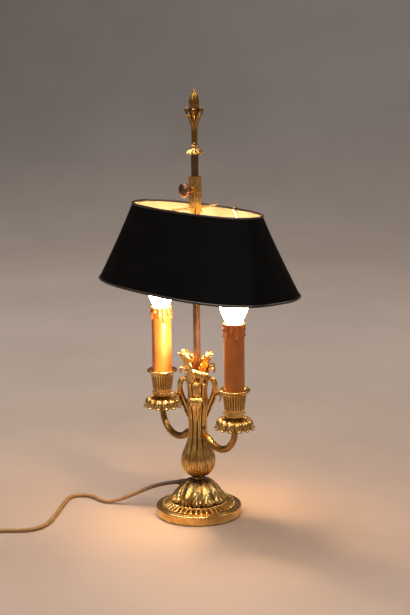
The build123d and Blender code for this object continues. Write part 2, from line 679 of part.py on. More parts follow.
with BuildPart() as arm:
    with BuildLine(Plane.XZ) as arm_path:
        Line(ARM_TAIL, ARM_ENTRY)
        RadiusArc(ARM_ENTRY, ARM_LOW_END, ARM_ROOT_BEND)
        ThreePointArc(
            ARM_LOW_END,
            (ARM_ARC_X + ARM_BEND * sin(radians(20)), BEND_LEVEL - ARM_BEND * cos(radians(20))),
            ARM_MOUTH,
        )
    arm_line = arm_path.line
    with BuildSketch(Plane(origin=arm_line @ 0, x_dir=(0, 1, 0), z_dir=arm_line % 0)):
        Circle(ARM_ROOT_RADIUS)
    with BuildSketch(Plane(origin=arm_line @ 1, x_dir=(0, 1, 0), z_dir=arm_line % 1)):
        Circle(ARM_TIP_RADIUS)
    sweep(path=arm_line, multisection=True)
    with BuildSketch(Plane.XY.offset(BEND_LEVEL)) as boss_foot:
        with Locations((ARM_REACH, 0)):
            Circle(ARM_TIP_RADIUS)
    with BuildSketch(Plane.XY.offset(SEAT_LEVEL)) as boss_top:
        with Locations((ARM_REACH, 0)):
            Circle(ARM_BOSS_RADIUS)
    loft()
    with BuildSketch(Plane(origin=arm_line @ 0, x_dir=(0, 1, 0), z_dir=arm_line % 0)):
        Circle(ARM_BORE_RADIUS)
    sweep(path=arm_line, mode=Mode.SUBTRACT)
    with BuildSketch(Plane.XY.offset(BEND_LEVEL)):
        with Locations((ARM_REACH, 0)):
            Circle(ARM_BORE_RADIUS)
    extrude(amount=ARM_BOSS_HEIGHT, mode=Mode.SUBTRACT)
    with BuildSketch(Plane.XY.offset(NIPPLE_FOOT)):
        with Locations((ARM_REACH, 0)):
            Circle(TIE_RADIUS)
    extrude(amount=SEAT_LEVEL - NIPPLE_FOOT, mode=Mode.SUBTRACT)

with BuildPart() as wire:
    with BuildLine(Plane.XZ) as wire_path:
        add(arm_line)
        Line(ARM_MOUTH, (ARM_REACH, HOLDER_FOOT))
    with BuildSketch(Plane(origin=arm_line @ 0, x_dir=(0, 1, 0), z_dir=arm_line % 0)):
        Circle(WIRE_RADIUS)
    sweep(path=wire_path.line)

for side, turn in SIDES:
    with BuildPart() as side_arm:
        add(arm.part, rotation=(0, 0, turn))
    side_arm.part.label = f"arm_{side}"
    export_step(side_arm.part, f"parts/arm_{side}.step")
    with BuildPart() as side_wire:
        add(wire.part, rotation=(0, 0, turn))
    side_wire.part.label = f"wire_{side}"
    export_step(side_wire.part, f"parts/wire_{side}.step")

# ---------------------------------------------------------------- pieces on each candle's axis
PAN_TIP = SEAT_LEVEL + PAN_CREST - PAN_DROOP

with BuildPart() as drip_pan:
    with BuildSketch(Plane.XZ):
        with BuildLine():
            Polyline(
                (TIE_RADIUS + SEAT_GAP, SEAT_LEVEL),
                (ARM_BOSS_RADIUS, SEAT_LEVEL),
                (CUP_FOOT_RADIUS, CUP_FOOT - PAN_SHEET),
                (PAN_CREST_RADIUS, SEAT_LEVEL + PAN_CREST - PAN_SHEET),
            )
            ThreePointArc(
                (PAN_CREST_RADIUS, SEAT_LEVEL + PAN_CREST - PAN_SHEET),
                (
                    PAN_CREST_RADIUS + (PAN_RADIUS - PAN_CREST_RADIUS - PAN_SHEET) * sqrt(0.5),
                    PAN_TIP + (PAN_DROOP - PAN_SHEET) * sqrt(0.5),
                ),
                (PAN_RADIUS - PAN_SHEET, PAN_TIP),
            )
            Line((PAN_RADIUS - PAN_SHEET, PAN_TIP), (PAN_RADIUS, PAN_TIP))
            ThreePointArc(
                (PAN_RADIUS, PAN_TIP),
                (
                    PAN_CREST_RADIUS + (PAN_RADIUS - PAN_CREST_RADIUS) * sqrt(0.5),
                    PAN_TIP + PAN_DROOP * sqrt(0.5),
                ),
                (PAN_CREST_RADIUS, SEAT_LEVEL + PAN_CREST),
            )
            Polyline(
                (PAN_CREST_RADIUS, SEAT_LEVEL + PAN_CREST),
                (CUP_FOOT_RADIUS + 1.0, CUP_FOOT),
                (TIE_RADIUS + SEAT_GAP, CUP_FOOT),
                (TIE_RADIUS + SEAT_GAP, SEAT_LEVEL),
            )
        make_face()
    revolve(axis=Axis.Z)
    # Wedges that part the petals
    with BuildSketch(Plane.XY.offset(SEAT_LEVEL)):
        with PolarLocations(0, PAN_PETALS):
            Polygon(
                (PAN_CREST_RADIUS + 1.5, 0),
                (PAN_RADIUS + 1.0, PETAL_GAP),
                (PAN_RADIUS + 1.0, -PETAL_GAP),
                align=None,
            )
    extrude(amount=PAN_CREST + 1.0, mode=Mode.SUBTRACT)

CUP_BEAD_LEVEL = CUP_FOOT + CUP_NECK + CUP_BEAD_RISE
BODY_FOOT = CUP_BEAD_LEVEL + 3.5
BODY_TOP = CUP_TOP - CUP_FLARE

with BuildPart() as cup_flute:
    flute_start = Vector(CUP_BASE_RADIUS + CUP_FLUTE_RADIUS * 0.35, 0, BODY_FOOT + 1.2)
    flute_end = Vector(CUP_BODY_RADIUS + CUP_FLUTE_RADIUS * 0.35, 0, BODY_TOP + 0.5)
    with BuildSketch(Plane(origin=flute_start, x_dir=(0, 1, 0), z_dir=flute_end - flute_start)):
        Circle(CUP_FLUTE_RADIUS)
    extrude(amount=(flute_end - flute_start).length)

with BuildPart() as candle_cup:
    with BuildSketch(Plane.XZ):
        with BuildLine():
            Polyline(
                (TIE_RADIUS + SEAT_GAP, CUP_FOOT),
                (CUP_FOOT_RADIUS, CUP_FOOT),
                (CUP_FOOT_RADIUS - 1.0, CUP_FOOT + CUP_NECK / 2),
                (CUP_FOOT_RADIUS + 1.0, CUP_FOOT + CUP_NECK),
                (CUP_BEAD_RADIUS - 1.4, CUP_BEAD_LEVEL - 1.8),
            )
            ThreePointArc(
                (CUP_BEAD_RADIUS - 1.4, CUP_BEAD_LEVEL - 1.8),
                (CUP_BEAD_RADIUS, CUP_BEAD_LEVEL),
                (CUP_BEAD_RADIUS - 1.4, CUP_BEAD_LEVEL + 1.8),
            )
            Polyline(
                (CUP_BEAD_RADIUS - 1.4, CUP_BEAD_LEVEL + 1.8),
                (CUP_BASE_RADIUS, BODY_FOOT),
                (CUP_BODY_RADIUS, BODY_TOP),
            )
            ThreePointArc(
                (CUP_BODY_RADIUS, BODY_TOP),
                (CUP_BODY_RADIUS + 0.3 * (CUP_RIM_RADIUS - CUP_BODY_RADIUS), BODY_TOP + 0.55 * CUP_FLARE),
                (CUP_RIM_RADIUS, CUP_TOP - 1.4),
            )
            Polyline(
                (CUP_RIM_RADIUS, CUP_TOP - 1.4),
                (CUP_RIM_RADIUS, CUP_TOP - 0.4),
                (CUP_RIM_RADIUS - 0.6, CUP_TOP),
                (CUP_RIM_RADIUS - 1.6, CUP_TOP),
                (SLEEVE_RADIUS + SEAT_GAP, CUP_TOP - 0.55 * CUP_FLARE),
                (SLEEVE_RADIUS + SEAT_GAP, SLEEVE_FOOT),
                (CUP_BASE_RADIUS - CUP_WALL, SLEEVE_FOOT),
                (CUP_BASE_RADIUS - CUP_WALL, CUP_INSIDE),
                (TIE_RADIUS + SEAT_GAP, CUP_INSIDE),
                (TIE_RADIUS + SEAT_GAP, CUP_FOOT),
            )
        make_face()
    revolve(axis=Axis.Z)
    with PolarLocations(0, CUP_FLUTES):
        add(cup_flute.part, mode=Mode.SUBTRACT)

with BuildPart() as nipple:
    with BuildSketch(Plane.XY.offset(NIPPLE_FOOT)):
        Circle(TIE_RADIUS)
        Circle(TIE_BORE_RADIUS, mode=Mode.SUBTRACT)
    extrude(amount=NIPPLE_TOP - NIPPLE_FOOT)

with BuildPart() as cup_nut:
    with BuildSketch(Plane.XY.offset(CUP_INSIDE + BRACKET_STRIP)):
        RegularPolygon(CUP_NUT_RADIUS, 6)
        Circle(TIE_RADIUS, mode=Mode.SUBTRACT)
    extrude(amount=CUP_NUT_HEIGHT)

with BuildPart() as holder_bracket:
    with BuildSketch(Plane.XY.offset(CUP_INSIDE)):
        Circle(HOLDER_NECK_RADIUS + BRACKET_STRIP)
        Circle(TIE_RADIUS + SEAT_GAP, mode=Mode.SUBTRACT)
    extrude(amount=BRACKET_STRIP)
    with BuildSketch(Plane.XY.offset(CUP_INSIDE)):
        Circle(HOLDER_NECK_RADIUS + BRACKET_STRIP)
        Circle(HOLDER_NECK_RADIUS, mode=Mode.SUBTRACT)
        Rectangle(BRACKET_WIDTH, 4 * HOLDER_NECK_RADIUS, mode=Mode.INTERSECT)
    extrude(amount=HOLDER_FOOT + HOLDER_NECK - CUP_INSIDE)

with BuildPart() as lamp_holder:
    with BuildSketch(Plane.XZ):
        with BuildLine():
            Polyline(
                (0, HOLDER_FOOT),
                (HOLDER_NECK_RADIUS, HOLDER_FOOT),
                (HOLDER_NECK_RADIUS, HOLDER_FOOT + HOLDER_NECK),
                (HOLDER_RADIUS, HOLDER_FOOT + HOLDER_NECK + 2.0),
                (HOLDER_RADIUS, HOLDER_TOP),
                (CAP_RADIUS + SEAT_GAP, HOLDER_TOP),
                (CAP_RADIUS + SEAT_GAP, HOLDER_TOP - CAP_LENGTH - CAP_CONTACT),
                (0, HOLDER_TOP - CAP_LENGTH - CAP_CONTACT),
                close=True,
            )
        make_face()
    revolve(axis=Axis.Z)

with BuildPart() as bulb_cap:
    with BuildSketch(Plane.XZ):
        with BuildLine():
            Polyline(
                (0, HOLDER_TOP),
                (CAP_RADIUS, HOLDER_TOP),
                (CAP_RADIUS, HOLDER_TOP - CAP_LENGTH + 3.0),
                (CAP_RADIUS - 2.4, HOLDER_TOP - CAP_LENGTH),
                (CAP_RADIUS - 3.4, HOLDER_TOP - CAP_LENGTH - CAP_CONTACT),
                (0, HOLDER_TOP - CAP_LENGTH - CAP_CONTACT),
                close=True,
            )
        make_face()
    revolve(axis=Axis.Z)


def bulb_outline(inset):
    """Half outline of the candle-shaped glass, from its neck to its tip."""
    shape = (
        (0.52, 0.0), (0.6, 0.07), (0.8, 0.17), (0.96, 0.29),
        (1.0, 0.4), (0.93, 0.55), (0.7, 0.74), (0.36, 0.9),
    )
    points = [(r * BULB_RADIUS - inset, HOLDER_TOP + z * BULB_LENGTH) for r, z in shape]
    return [*points, (0, HOLDER_TOP + BULB_LENGTH - inset)]


with BuildPart() as bulb_glass:
    with BuildSketch(Plane.XZ):
        with BuildLine():
            Spline(*bulb_outline(0))
            Line((0, HOLDER_TOP + BULB_LENGTH), (0, HOLDER_TOP + BULB_LENGTH - BULB_WALL))
            Spline(*bulb_outline(BULB_WALL))
            Line(bulb_outline(BULB_WALL)[0], bulb_outline(0)[0])
        make_face()
    revolve(axis=Axis.Z)

with BuildPart() as candle_sleeve:
    with Locations((0, 0, SLEEVE_FOOT)):
        Cylinder(SLEEVE_RADIUS, SLEEVE_LENGTH, align=(Align.CENTER, Align.CENTER, Align.MIN))
    with Locations((0, 0, SLEEVE_TOP - DRIP_LIP)):
        Cylinder(SLEEVE_RADIUS + 0.5, DRIP_LIP, align=(Align.CENTER, Align.CENTER, Align.MIN))
    for azimuth, run in DRIPS:
        spot = (
            (SLEEVE_RADIUS - 0.5) * cos(radians(azimuth)),
            (SLEEVE_RADIUS - 0.5) * sin(radians(azimuth)),
            SLEEVE_TOP - run,
        )
        with Locations(spot):
            Sphere(DRIP_RADIUS)
            Cylinder(DRIP_RADIUS * 0.85, run, align=(Align.CENTER, Align.CENTER, Align.MIN))
    with Locations((0, 0, SLEEVE_FOOT)):
        Cylinder(
            SLEEVE_RADIUS - SLEEVE_WALL,
            SLEEVE_LENGTH,
            align=(Align.CENTER, Align.CENTER, Align.MIN),
            mode=Mode.SUBTRACT,
        )

CANDLE_PIECES = (
    ("drip_pan", drip_pan), ("candle_cup", candle_cup), ("nipple", nipple), ("cup_nut", cup_nut),
    ("holder_bracket", holder_bracket), ("lamp_holder", lamp_holder), ("bulb_cap", bulb_cap),
    ("bulb_glass", bulb_glass), ("candle_sleeve", candle_sleeve),
)

for piece_name, piece in CANDLE_PIECES:
    for side, turn in SIDES:
        with BuildPart() as placed:
            with Locations(Location((ARM_REACH * cos(radians(turn)), 0, 0), (0, 0, turn))):
                add(piece.part)
        placed.part.label = f"{piece_name}_{side}"
        export_step(placed.part, f"parts/{piece_name}_{side}.step")

# ---------------------------------------------------------------- shade
def shade_wall(inset):
    """Straight-sided oval cone between the shade's two outlines, both set in by a distance."""
    with BuildPart(mode=Mode.PRIVATE) as wall:
        with BuildSketch(Plane.XY.offset(SHADE_BOTTOM)):
            with BuildLine():
                Spline(
                    *oval_points(SHADE_BOTTOM_X - inset, SHADE_BOTTOM_Y - inset, SHADE_BOTTOM_SQUARENESS),
                    periodic=True,
                )
            make_face()
        with BuildSketch(Plane.XY.offset(SHADE_TOP)):
            with BuildLine():
                Spline(
                    *oval_points(SHADE_TOP_X - inset, SHADE_TOP_Y - inset, SHADE_TOP_SQUARENESS),
                    periodic=True,
                )
            make_face()
        loft(ruled=True)
    return wall.part


with BuildPart() as shade:
    add(shade_wall(0))
    add(shade_wall(SHADE_SHEET), mode=Mode.SUBTRACT)
shade.part.label = "shade"
export_step(shade.part, "parts/shade.step")

BEADS = (
    ("shade_top_bead", SHADE_TOP, SHADE_TOP_X, SHADE_TOP_Y, SHADE_TOP_SQUARENESS),
    ("shade_bottom_bead", SHADE_BOTTOM, SHADE_BOTTOM_X, SHADE_BOTTOM_Y, SHADE_BOTTOM_SQUARENESS),
)
beads = {}
for bead_name, level, half_x, half_y, squareness in BEADS:
    middle = SHADE_SHEET / 2
    with BuildPart() as bead:
        with BuildLine(Plane.XY.offset(level)) as rim:
            Spline(*oval_points(half_x - middle, half_y - middle, squareness), periodic=True)
        with BuildSketch(Plane(origin=rim.line @ 0, z_dir=rim.line % 0)):
            Circle(BEAD_RADIUS)
        sweep(path=rim.line)
        add(shade.part, mode=Mode.SUBTRACT)
    bead.part.label = bead_name
    export_step(bead.part, f"parts/{bead_name}.step")
    beads[bead_name] = bead.part

with BuildPart() as slide_block:
    with BuildSketch(Plane.XY.offset(TONGUE_TIP)):
        Rectangle(SLIDE_SIDE, SLIDE_SIDE)
        Rectangle(ROD_SIDE + 2 * SLIDE_GAP, ROD_SIDE + 2 * SLIDE_GAP, mode=Mode.SUBTRACT)
    extrude(amount=SLIDE_TOP - TONGUE_TIP)
    with BuildSketch(Plane.XY.offset(TONGUE_TIP)):
        with GridLocations(SLIDE_SIDE, SLIDE_SIDE, 2, 2):
            Rectangle(SLIDE_SIDE - TONGUE_WIDTH, SLIDE_SIDE - TONGUE_WIDTH)
    extrude(amount=TONGUE_LENGTH, mode=Mode.SUBTRACT)
    with BuildSketch(Plane(origin=(0, -SLIDE_SIDE / 2, SCREW_LEVEL), z_dir=(0, -1, 0))):
        Circle(BOSS_RADIUS)
    extrude(amount=BOSS_HEIGHT)
    with BuildSketch(Plane(origin=(0, 0, SCREW_LEVEL), z_dir=(0, -1, 0))):
        Circle(SCREW_RADIUS + RUNNING_GAP)
    extrude(amount=SLIDE_SIDE, mode=Mode.SUBTRACT)
slide_block.part.label = "slide_block"
export_step(slide_block.part, "parts/slide_block.step")

with BuildPart() as shade_spider:
    for out in (1, -1):
        with BuildSketch(Plane(origin=(0, out * SLIDE_SIDE / 2, SPIDER_LEVEL), z_dir=(0, out, 0))):
            Circle(SPIDER_RADIUS)
        extrude(amount=SHADE_TOP_Y - SLIDE_SIDE / 2)
    add(beads["shade_top_bead"], mode=Mode.SUBTRACT)
    add(shade.part, mode=Mode.SUBTRACT)
shade_spider.part.label = "shade_spider"
export_step(shade_spider.part, "parts/shade_spider.step")


def oval_reach(x, half_x, half_y, squareness):
    """How far the oval reaches along Y at a distance x from its centre."""
    return half_y * (1 - (x / half_x) ** squareness) ** (1 / squareness)


with BuildPart() as rim_clips:
    clip_x = CLIP_SPACING / 2
    rim_y = oval_reach(clip_x, SHADE_TOP_X, SHADE_TOP_Y, SHADE_TOP_SQUARENESS) - SHADE_SHEET / 2
    foot_y = oval_reach(clip_x, SHADE_BOTTOM_X, SHADE_BOTTOM_Y, SHADE_BOTTOM_SQUARENESS) - SHADE_SHEET / 2
    lean = (foot_y - rim_y) / SHADE_HEIGHT
    hook = BEAD_RADIUS + CLIP_GAP + CLIP_SHEET
    for out in (1, -1):
        with BuildSketch(Plane.YZ.offset(out * clip_x)):
            with Locations((rim_y, SHADE_TOP)):
                Circle(hook)
            Polygon(
                (rim_y - hook, SHADE_TOP),
                (rim_y, SHADE_TOP),
                (rim_y + lean * CLIP_LENGTH, SHADE_TOP - CLIP_LENGTH),
                (rim_y + lean * CLIP_LENGTH - SHADE_SHEET - CLIP_SHEET, SHADE_TOP - CLIP_LENGTH),
                align=None,
            )
            with Locations((rim_y, SHADE_TOP)):
                Circle(BEAD_RADIUS + CLIP_GAP, mode=Mode.SUBTRACT)
            Polygon(
                (rim_y + 0.2, SHADE_TOP),
                (rim_y + 2 * hook, SHADE_TOP),
                (rim_y + 2 * hook + lean * CLIP_LENGTH, SHADE_TOP - 2 * CLIP_LENGTH),
                (rim_y + 0.2 + lean * 2 * CLIP_LENGTH, SHADE_TOP - 2 * CLIP_LENGTH),
                align=None,
                mode=Mode.SUBTRACT,
            )
        extrude(amount=CLIP_WIDTH / 2, both=True)
    add(shade.part, mode=Mode.SUBTRACT)
rim_clips.part.label = "rim_clips"
export_step(rim_clips.part, "parts/rim_clips.step")

with BuildPart() as clamp_screw:
    knob_face = Plane(origin=(0, -KNOB_STANDOFF, SCREW_LEVEL), z_dir=(0, -1, 0))
    with BuildSketch(knob_face):
        Circle(SCREW_RADIUS)
    extrude(amount=-(KNOB_STANDOFF - ROD_SIDE / 2 - RUNNING_GAP))
    with BuildSketch(knob_face):
        Circle(KNOB_RADIUS)
    extrude(amount=KNOB_THICKNESS)
    knob_rims = clamp_screw.edges().filter_by(GeomType.CIRCLE).filter_by(lambda e: e.radius > KNOB_RADIUS - 1)
    fillet(knob_rims, 1.6)
    with BuildSketch(knob_face):
        with PolarLocations(KNOB_RADIUS + 1.0, KNOB_SCALLOPS):
            Circle(1.5)
    extrude(amount=KNOB_THICKNESS, mode=Mode.SUBTRACT)
clamp_screw.part.label = "clamp_screw"
export_step(clamp_screw.part, "parts/clamp_screw.step")

# ---------------------------------------------------------------- finial
FINIAL_FOOT = ROD_TOP + COLLAR_HEIGHT
CALYX_FOOT = FINIAL_FOOT + STEM_HEIGHT
BUD_FOOT = CALYX_FOOT + CALYX_HEIGHT
# Height above the rod, radius and lobe depth of each section, as shares
COLLAR_SECTIONS = (
    (0.0, 0.82, 0.2), (0.2, 1.0, 0.24), (0.45, 0.78, 0.16), (0.7, 0.52, 0.08), (1.0, 0.42, 0.02),
)

with BuildPart() as finial_collar:
    for height, spread, wave in COLLAR_SECTIONS:
        with BuildSketch(Plane.XY.offset(ROD_TOP + height * COLLAR_HEIGHT)):
            with BuildLine():
                outline = lobed_points(spread * COLLAR_RADIUS, wave * COLLAR_RADIUS, COLLAR_PETALS)
                Spline(*outline, periodic=True)
            make_face()
    loft()
    with BuildSketch(Plane.XY.offset(ROD_TOP)):
        Circle(ROD_SPIGOT_RADIUS + SEAT_GAP)
    extrude(amount=COLLAR_HEIGHT, mode=Mode.SUBTRACT)
finial_collar.part.label = "finial_collar"
export_step(finial_collar.part, "parts/finial_collar.step")

SCROLL_LEVEL = BUD_FOOT + 0.17 * BUD_HEIGHT
# Reach, level and width of the leaf that rises from the stem and carries a scroll
SCROLL_LEAF = (
    (0.5 * STEM_RADIUS, CALYX_FOOT - 1.0, 3.0),
    (0.68 * SCROLL_REACH, CALYX_FOOT + 0.5 * CALYX_HEIGHT, 5.4),
    (SCROLL_REACH + 0.6 * SCROLL_RADIUS, SCROLL_LEVEL - 0.5 * SCROLL_RADIUS, SCROLL_WIDTH),
)

with BuildPart() as finial_scroll:
    with Locations((SCROLL_REACH, 0, SCROLL_LEVEL)):
        Cylinder(SCROLL_RADIUS, SCROLL_WIDTH, rotation=(90, 0, 0))
    fillet(finial_scroll.edges().filter_by(GeomType.CIRCLE), 0.6)
    leaf_points = [(reach, level) for reach, level, _ in SCROLL_LEAF]
    for plane, (_, _, width) in zip(station_planes(leaf_points), SCROLL_LEAF):
        with BuildSketch(plane):
            Ellipse(width / 2, 1.0)
    loft()

with BuildPart() as finial:
    with BuildSketch(Plane.XZ):
        with BuildLine():
            Line((0, BUD_FOOT + BUD_HEIGHT), (0, FINIAL_FOOT))
            Line((0, FINIAL_FOOT), (STEM_RADIUS + 0.4, FINIAL_FOOT))
            Spline(
                (STEM_RADIUS + 0.4, FINIAL_FOOT),
                (STEM_RADIUS - 0.3, FINIAL_FOOT + 0.5 * STEM_HEIGHT),
                (STEM_RADIUS + 0.2, CALYX_FOOT),
                (CALYX_RADIUS, BUD_FOOT - 1.0),
            )
            Spline(
                (CALYX_RADIUS, BUD_FOOT - 1.0),
                (0.98 * BUD_RADIUS, BUD_FOOT + 0.12 * BUD_HEIGHT),
                (0.86 * BUD_RADIUS, BUD_FOOT + 0.32 * BUD_HEIGHT),
                (BUD_RADIUS, BUD_FOOT + 0.6 * BUD_HEIGHT),
                (0.66 * BUD_RADIUS, BUD_FOOT + 0.84 * BUD_HEIGHT),
                (0, BUD_FOOT + BUD_HEIGHT),
            )
        make_face()
    revolve(axis=Axis.Z)
    with PolarLocations(0, SCROLLS, start_angle=180 / SCROLLS):
        add(finial_scroll.part)
    with BuildSketch(Plane.XY.offset(FINIAL_FOOT)):
        Circle(ROD_SPIGOT_RADIUS)
    extrude(amount=ROD_SPIGOT_GRIP, mode=Mode.SUBTRACT)
finial.part.label = "finial"
export_step(finial.part, "parts/finial.step")

# ---------------------------------------------------------------- cord and what is on it
SWITCH_PLANE = Plane(
    origin=(*SWITCH_ENTRY, 0),
    x_dir=(cos(radians(SWITCH_HEADING)), sin(radians(SWITCH_HEADING)), 0),
    z_dir=(0, 0, 1),
)
SWITCH_SPAN = SWITCH_LENGTH + 2 * SWITCH_NECK_LENGTH
SWITCH_EXIT = SWITCH_PLANE.from_local_coords((SWITCH_SPAN, 0, SWITCH_CORD_HEIGHT))
SWITCH_IN = SWITCH_PLANE.from_local_coords((0, 0, SWITCH_CORD_HEIGHT))

LEAD_TURN = CORD_START + EXIT_DIRECTION * LEAD_FIRST_RUN
cord_lead = cord_tube("cord_lead", [tuple(CORD_START), tuple(LEAD_TURN), *LEAD_ROUTE, tuple(SWITCH_IN)])
cord_lead.part.label = "cord_lead"
export_step(cord_lead.part, "parts/cord_lead.step")

cord_tail = cord_tube("cord_tail", [tuple(SWITCH_EXIT), *TAIL_ROUTE])
cord_tail.part.label = "cord_tail"
export_step(cord_tail.part, "parts/cord_tail.step")

plug_lead = cord_tube("plug_lead", PLUG_ROUTE)
plug_lead.part.label = "plug_lead"
export_step(plug_lead.part, "parts/plug_lead.step")

COIL_INNER = COIL_MID_RADIUS - COIL_TURNS_WIDE * CORD_RADIUS
COIL_OUTER = COIL_MID_RADIUS + COIL_TURNS_WIDE * CORD_RADIUS
COIL_HEIGHT = CORD_RADIUS * (2 + sqrt(3) * (COIL_LAYERS - 1))

with BuildPart() as cord_coil:
    with BuildSketch(Plane.XY):
        with Locations(COIL_CENTRE):
            Circle(COIL_OUTER)
            Circle(COIL_INNER, mode=Mode.SUBTRACT)
    extrude(amount=COIL_HEIGHT)
    chamfer(cord_coil.edges().group_by(Axis.Z)[-1], CORD_RADIUS)
cord_coil.part.label = "cord_coil"
export_step(cord_coil.part, "parts/cord_coil.step")

SWITCH_BODY = SWITCH_PLANE.from_local_coords((SWITCH_SPAN / 2, 0, 0))
BODY_PLANE = Plane(origin=SWITCH_BODY, x_dir=SWITCH_PLANE.x_dir, z_dir=(0, 0, 1))
ROCKER_CENTRE = SWITCH_BODY + Vector(0, 0, ROCKER_PIVOT_HEIGHT)
ROCKER_PLANE = Plane(origin=ROCKER_CENTRE, x_dir=SWITCH_PLANE.x_dir, z_dir=-SWITCH_PLANE.y_dir)
SWITCH_INNER = SWITCH_LENGTH - 2 * SWITCH_WALL

with BuildPart() as switch_base:
    with BuildSketch(BODY_PLANE):
        RectangleRounded(SWITCH_LENGTH, SWITCH_WIDTH, SWITCH_CORNER)
    extrude(amount=SWITCH_SPLIT)
    with BuildSketch(BODY_PLANE.offset(SWITCH_WALL)):
        RectangleRounded(SWITCH_INNER, SWITCH_WIDTH - 2 * SWITCH_WALL, SWITCH_CORNER - SWITCH_WALL)
    extrude(amount=SWITCH_SPLIT, mode=Mode.SUBTRACT)
    for start, out in ((SWITCH_IN, 1), (SWITCH_EXIT, -1)):
        with BuildSketch(Plane(origin=start, z_dir=SWITCH_PLANE.x_dir * out)):
            Circle(CORD_RADIUS + 0.8)
        neck_end = start + SWITCH_PLANE.x_dir * out * SWITCH_NECK_LENGTH
        with BuildSketch(Plane(origin=neck_end, z_dir=SWITCH_PLANE.x_dir * out)):
            Circle(SWITCH_NECK_RADIUS)
        loft()
    add(cord_lead.part, mode=Mode.SUBTRACT)
    add(cord_tail.part, mode=Mode.SUBTRACT)
switch_base.part.label = "switch_base"
export_step(switch_base.part, "parts/switch_base.step")

with BuildPart() as switch_cover:
    with BuildSketch(BODY_PLANE.offset(SWITCH_SPLIT)):
        RectangleRounded(SWITCH_LENGTH, SWITCH_WIDTH, SWITCH_CORNER)
    extrude(amount=SWITCH_HEIGHT - SWITCH_SPLIT)
    fillet(switch_cover.edges().group_by(Axis.Z)[-1], SWITCH_WALL)
    with BuildSketch(BODY_PLANE.offset(SWITCH_SPLIT)):
        RectangleRounded(SWITCH_INNER, SWITCH_WIDTH - 2 * SWITCH_WALL, SWITCH_CORNER - SWITCH_WALL)
    extrude(amount=SWITCH_HEIGHT - SWITCH_SPLIT - SWITCH_WALL, mode=Mode.SUBTRACT)
    with BuildSketch(BODY_PLANE.offset(SWITCH_HEIGHT - SWITCH_WALL)):
        Rectangle(2 * (ROCKER_RADIUS + ROCKER_GAP), ROCKER_WIDTH + 2 * ROCKER_GAP)
    extrude(amount=SWITCH_WALL, mode=Mode.SUBTRACT)
    # Lugs that carry the rocker's pivots
    with BuildSketch(BODY_PLANE.offset(ROCKER_PIVOT_HEIGHT - 2.5)):
        with GridLocations(1, ROCKER_WIDTH + 2 * ROCKER_GAP + LUG_THICKNESS, 1, 2):
            Rectangle(6, LUG_THICKNESS)
    extrude(amount=SWITCH_HEIGHT - SWITCH_WALL - ROCKER_PIVOT_HEIGHT + 2.5)
    with BuildSketch(ROCKER_PLANE):
        Circle(ROCKER_PIVOT_RADIUS + RUNNING_GAP)
    extrude(amount=ROCKER_WIDTH, both=True, mode=Mode.SUBTRACT)
switch_cover.part.label = "switch_cover"
export_step(switch_cover.part, "parts/switch_cover.step")

with BuildPart() as switch_rocker:
    with BuildSketch(ROCKER_PLANE) as rocker_side:
        Circle(ROCKER_RADIUS)
        with Locations(Location((0, 0), (0, 0, ROCKER_TILT))):
            Polygon(
                (-1.2 * ROCKER_RADIUS, -0.25 * ROCKER_RADIUS),
                (1.2 * ROCKER_RADIUS, -0.25 * ROCKER_RADIUS),
                (1.2 * ROCKER_RADIUS, 0.72 * ROCKER_RADIUS),
                (0, 0.4 * ROCKER_RADIUS),
                (-1.2 * ROCKER_RADIUS, 0.72 * ROCKER_RADIUS),
                align=None,
                mode=Mode.INTERSECT,
            )
    extrude(amount=ROCKER_WIDTH / 2, both=True)
    with BuildSketch(ROCKER_PLANE):
        Circle(ROCKER_PIVOT_RADIUS)
    extrude(amount=ROCKER_WIDTH / 2 + ROCKER_GAP + LUG_THICKNESS, both=True)
switch_rocker.part.label = "switch_rocker"
export_step(switch_rocker.part, "parts/switch_rocker.step")

PLUG_PLANE = Plane(
    origin=PLUG_ROUTE[-1],
    x_dir=(cos(radians(PLUG_HEADING)), sin(radians(PLUG_HEADING)), 0),
    z_dir=(0, 0, 1),
)
PLUG_FRONT = PLUG_RELIEF_LENGTH + PLUG_LENGTH

with BuildPart() as plug_body:
    with BuildSketch(Plane(origin=PLUG_PLANE.origin, z_dir=PLUG_PLANE.x_dir)):
        Circle(CORD_RADIUS + 0.6)
    relief_end = PLUG_PLANE.origin + PLUG_PLANE.x_dir * PLUG_RELIEF_LENGTH
    with BuildSketch(Plane(origin=relief_end, z_dir=PLUG_PLANE.x_dir)):
        Circle(0.4 * PLUG_THICKNESS)
    loft()
    with BuildSketch(PLUG_PLANE):
        with BuildLine():
            Polyline(
                (PLUG_RELIEF_LENGTH, -0.28 * PLUG_WIDTH),
                (PLUG_RELIEF_LENGTH + 0.35 * PLUG_LENGTH, -PLUG_WIDTH / 2),
                (PLUG_FRONT, -PLUG_WIDTH / 2),
                (PLUG_FRONT, PLUG_WIDTH / 2),
                (PLUG_RELIEF_LENGTH + 0.35 * PLUG_LENGTH, PLUG_WIDTH / 2),
                (PLUG_RELIEF_LENGTH, 0.28 * PLUG_WIDTH),
                close=True,
            )
        make_face()
    extrude(amount=PLUG_THICKNESS / 2, both=True)
plug_body.part.label = "plug_body"
export_step(plug_body.part, "parts/plug_body.step")

with BuildPart() as plug_pins:
    front = Plane(
        origin=PLUG_PLANE.from_local_coords((PLUG_FRONT, 0, 0)),
        x_dir=PLUG_PLANE.y_dir,
        z_dir=PLUG_PLANE.x_dir,
    )
    with BuildSketch(front):
        with GridLocations(PIN_SPACING, 1, 2, 1):
            Circle(PIN_RADIUS)
    extrude(amount=PIN_LENGTH)
plug_pins.part.label = "plug_pins"
export_step(plug_pins.part, "parts/plug_pins.step")
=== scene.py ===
from math import cos, exp, pi, radians, sin, sqrt, tau

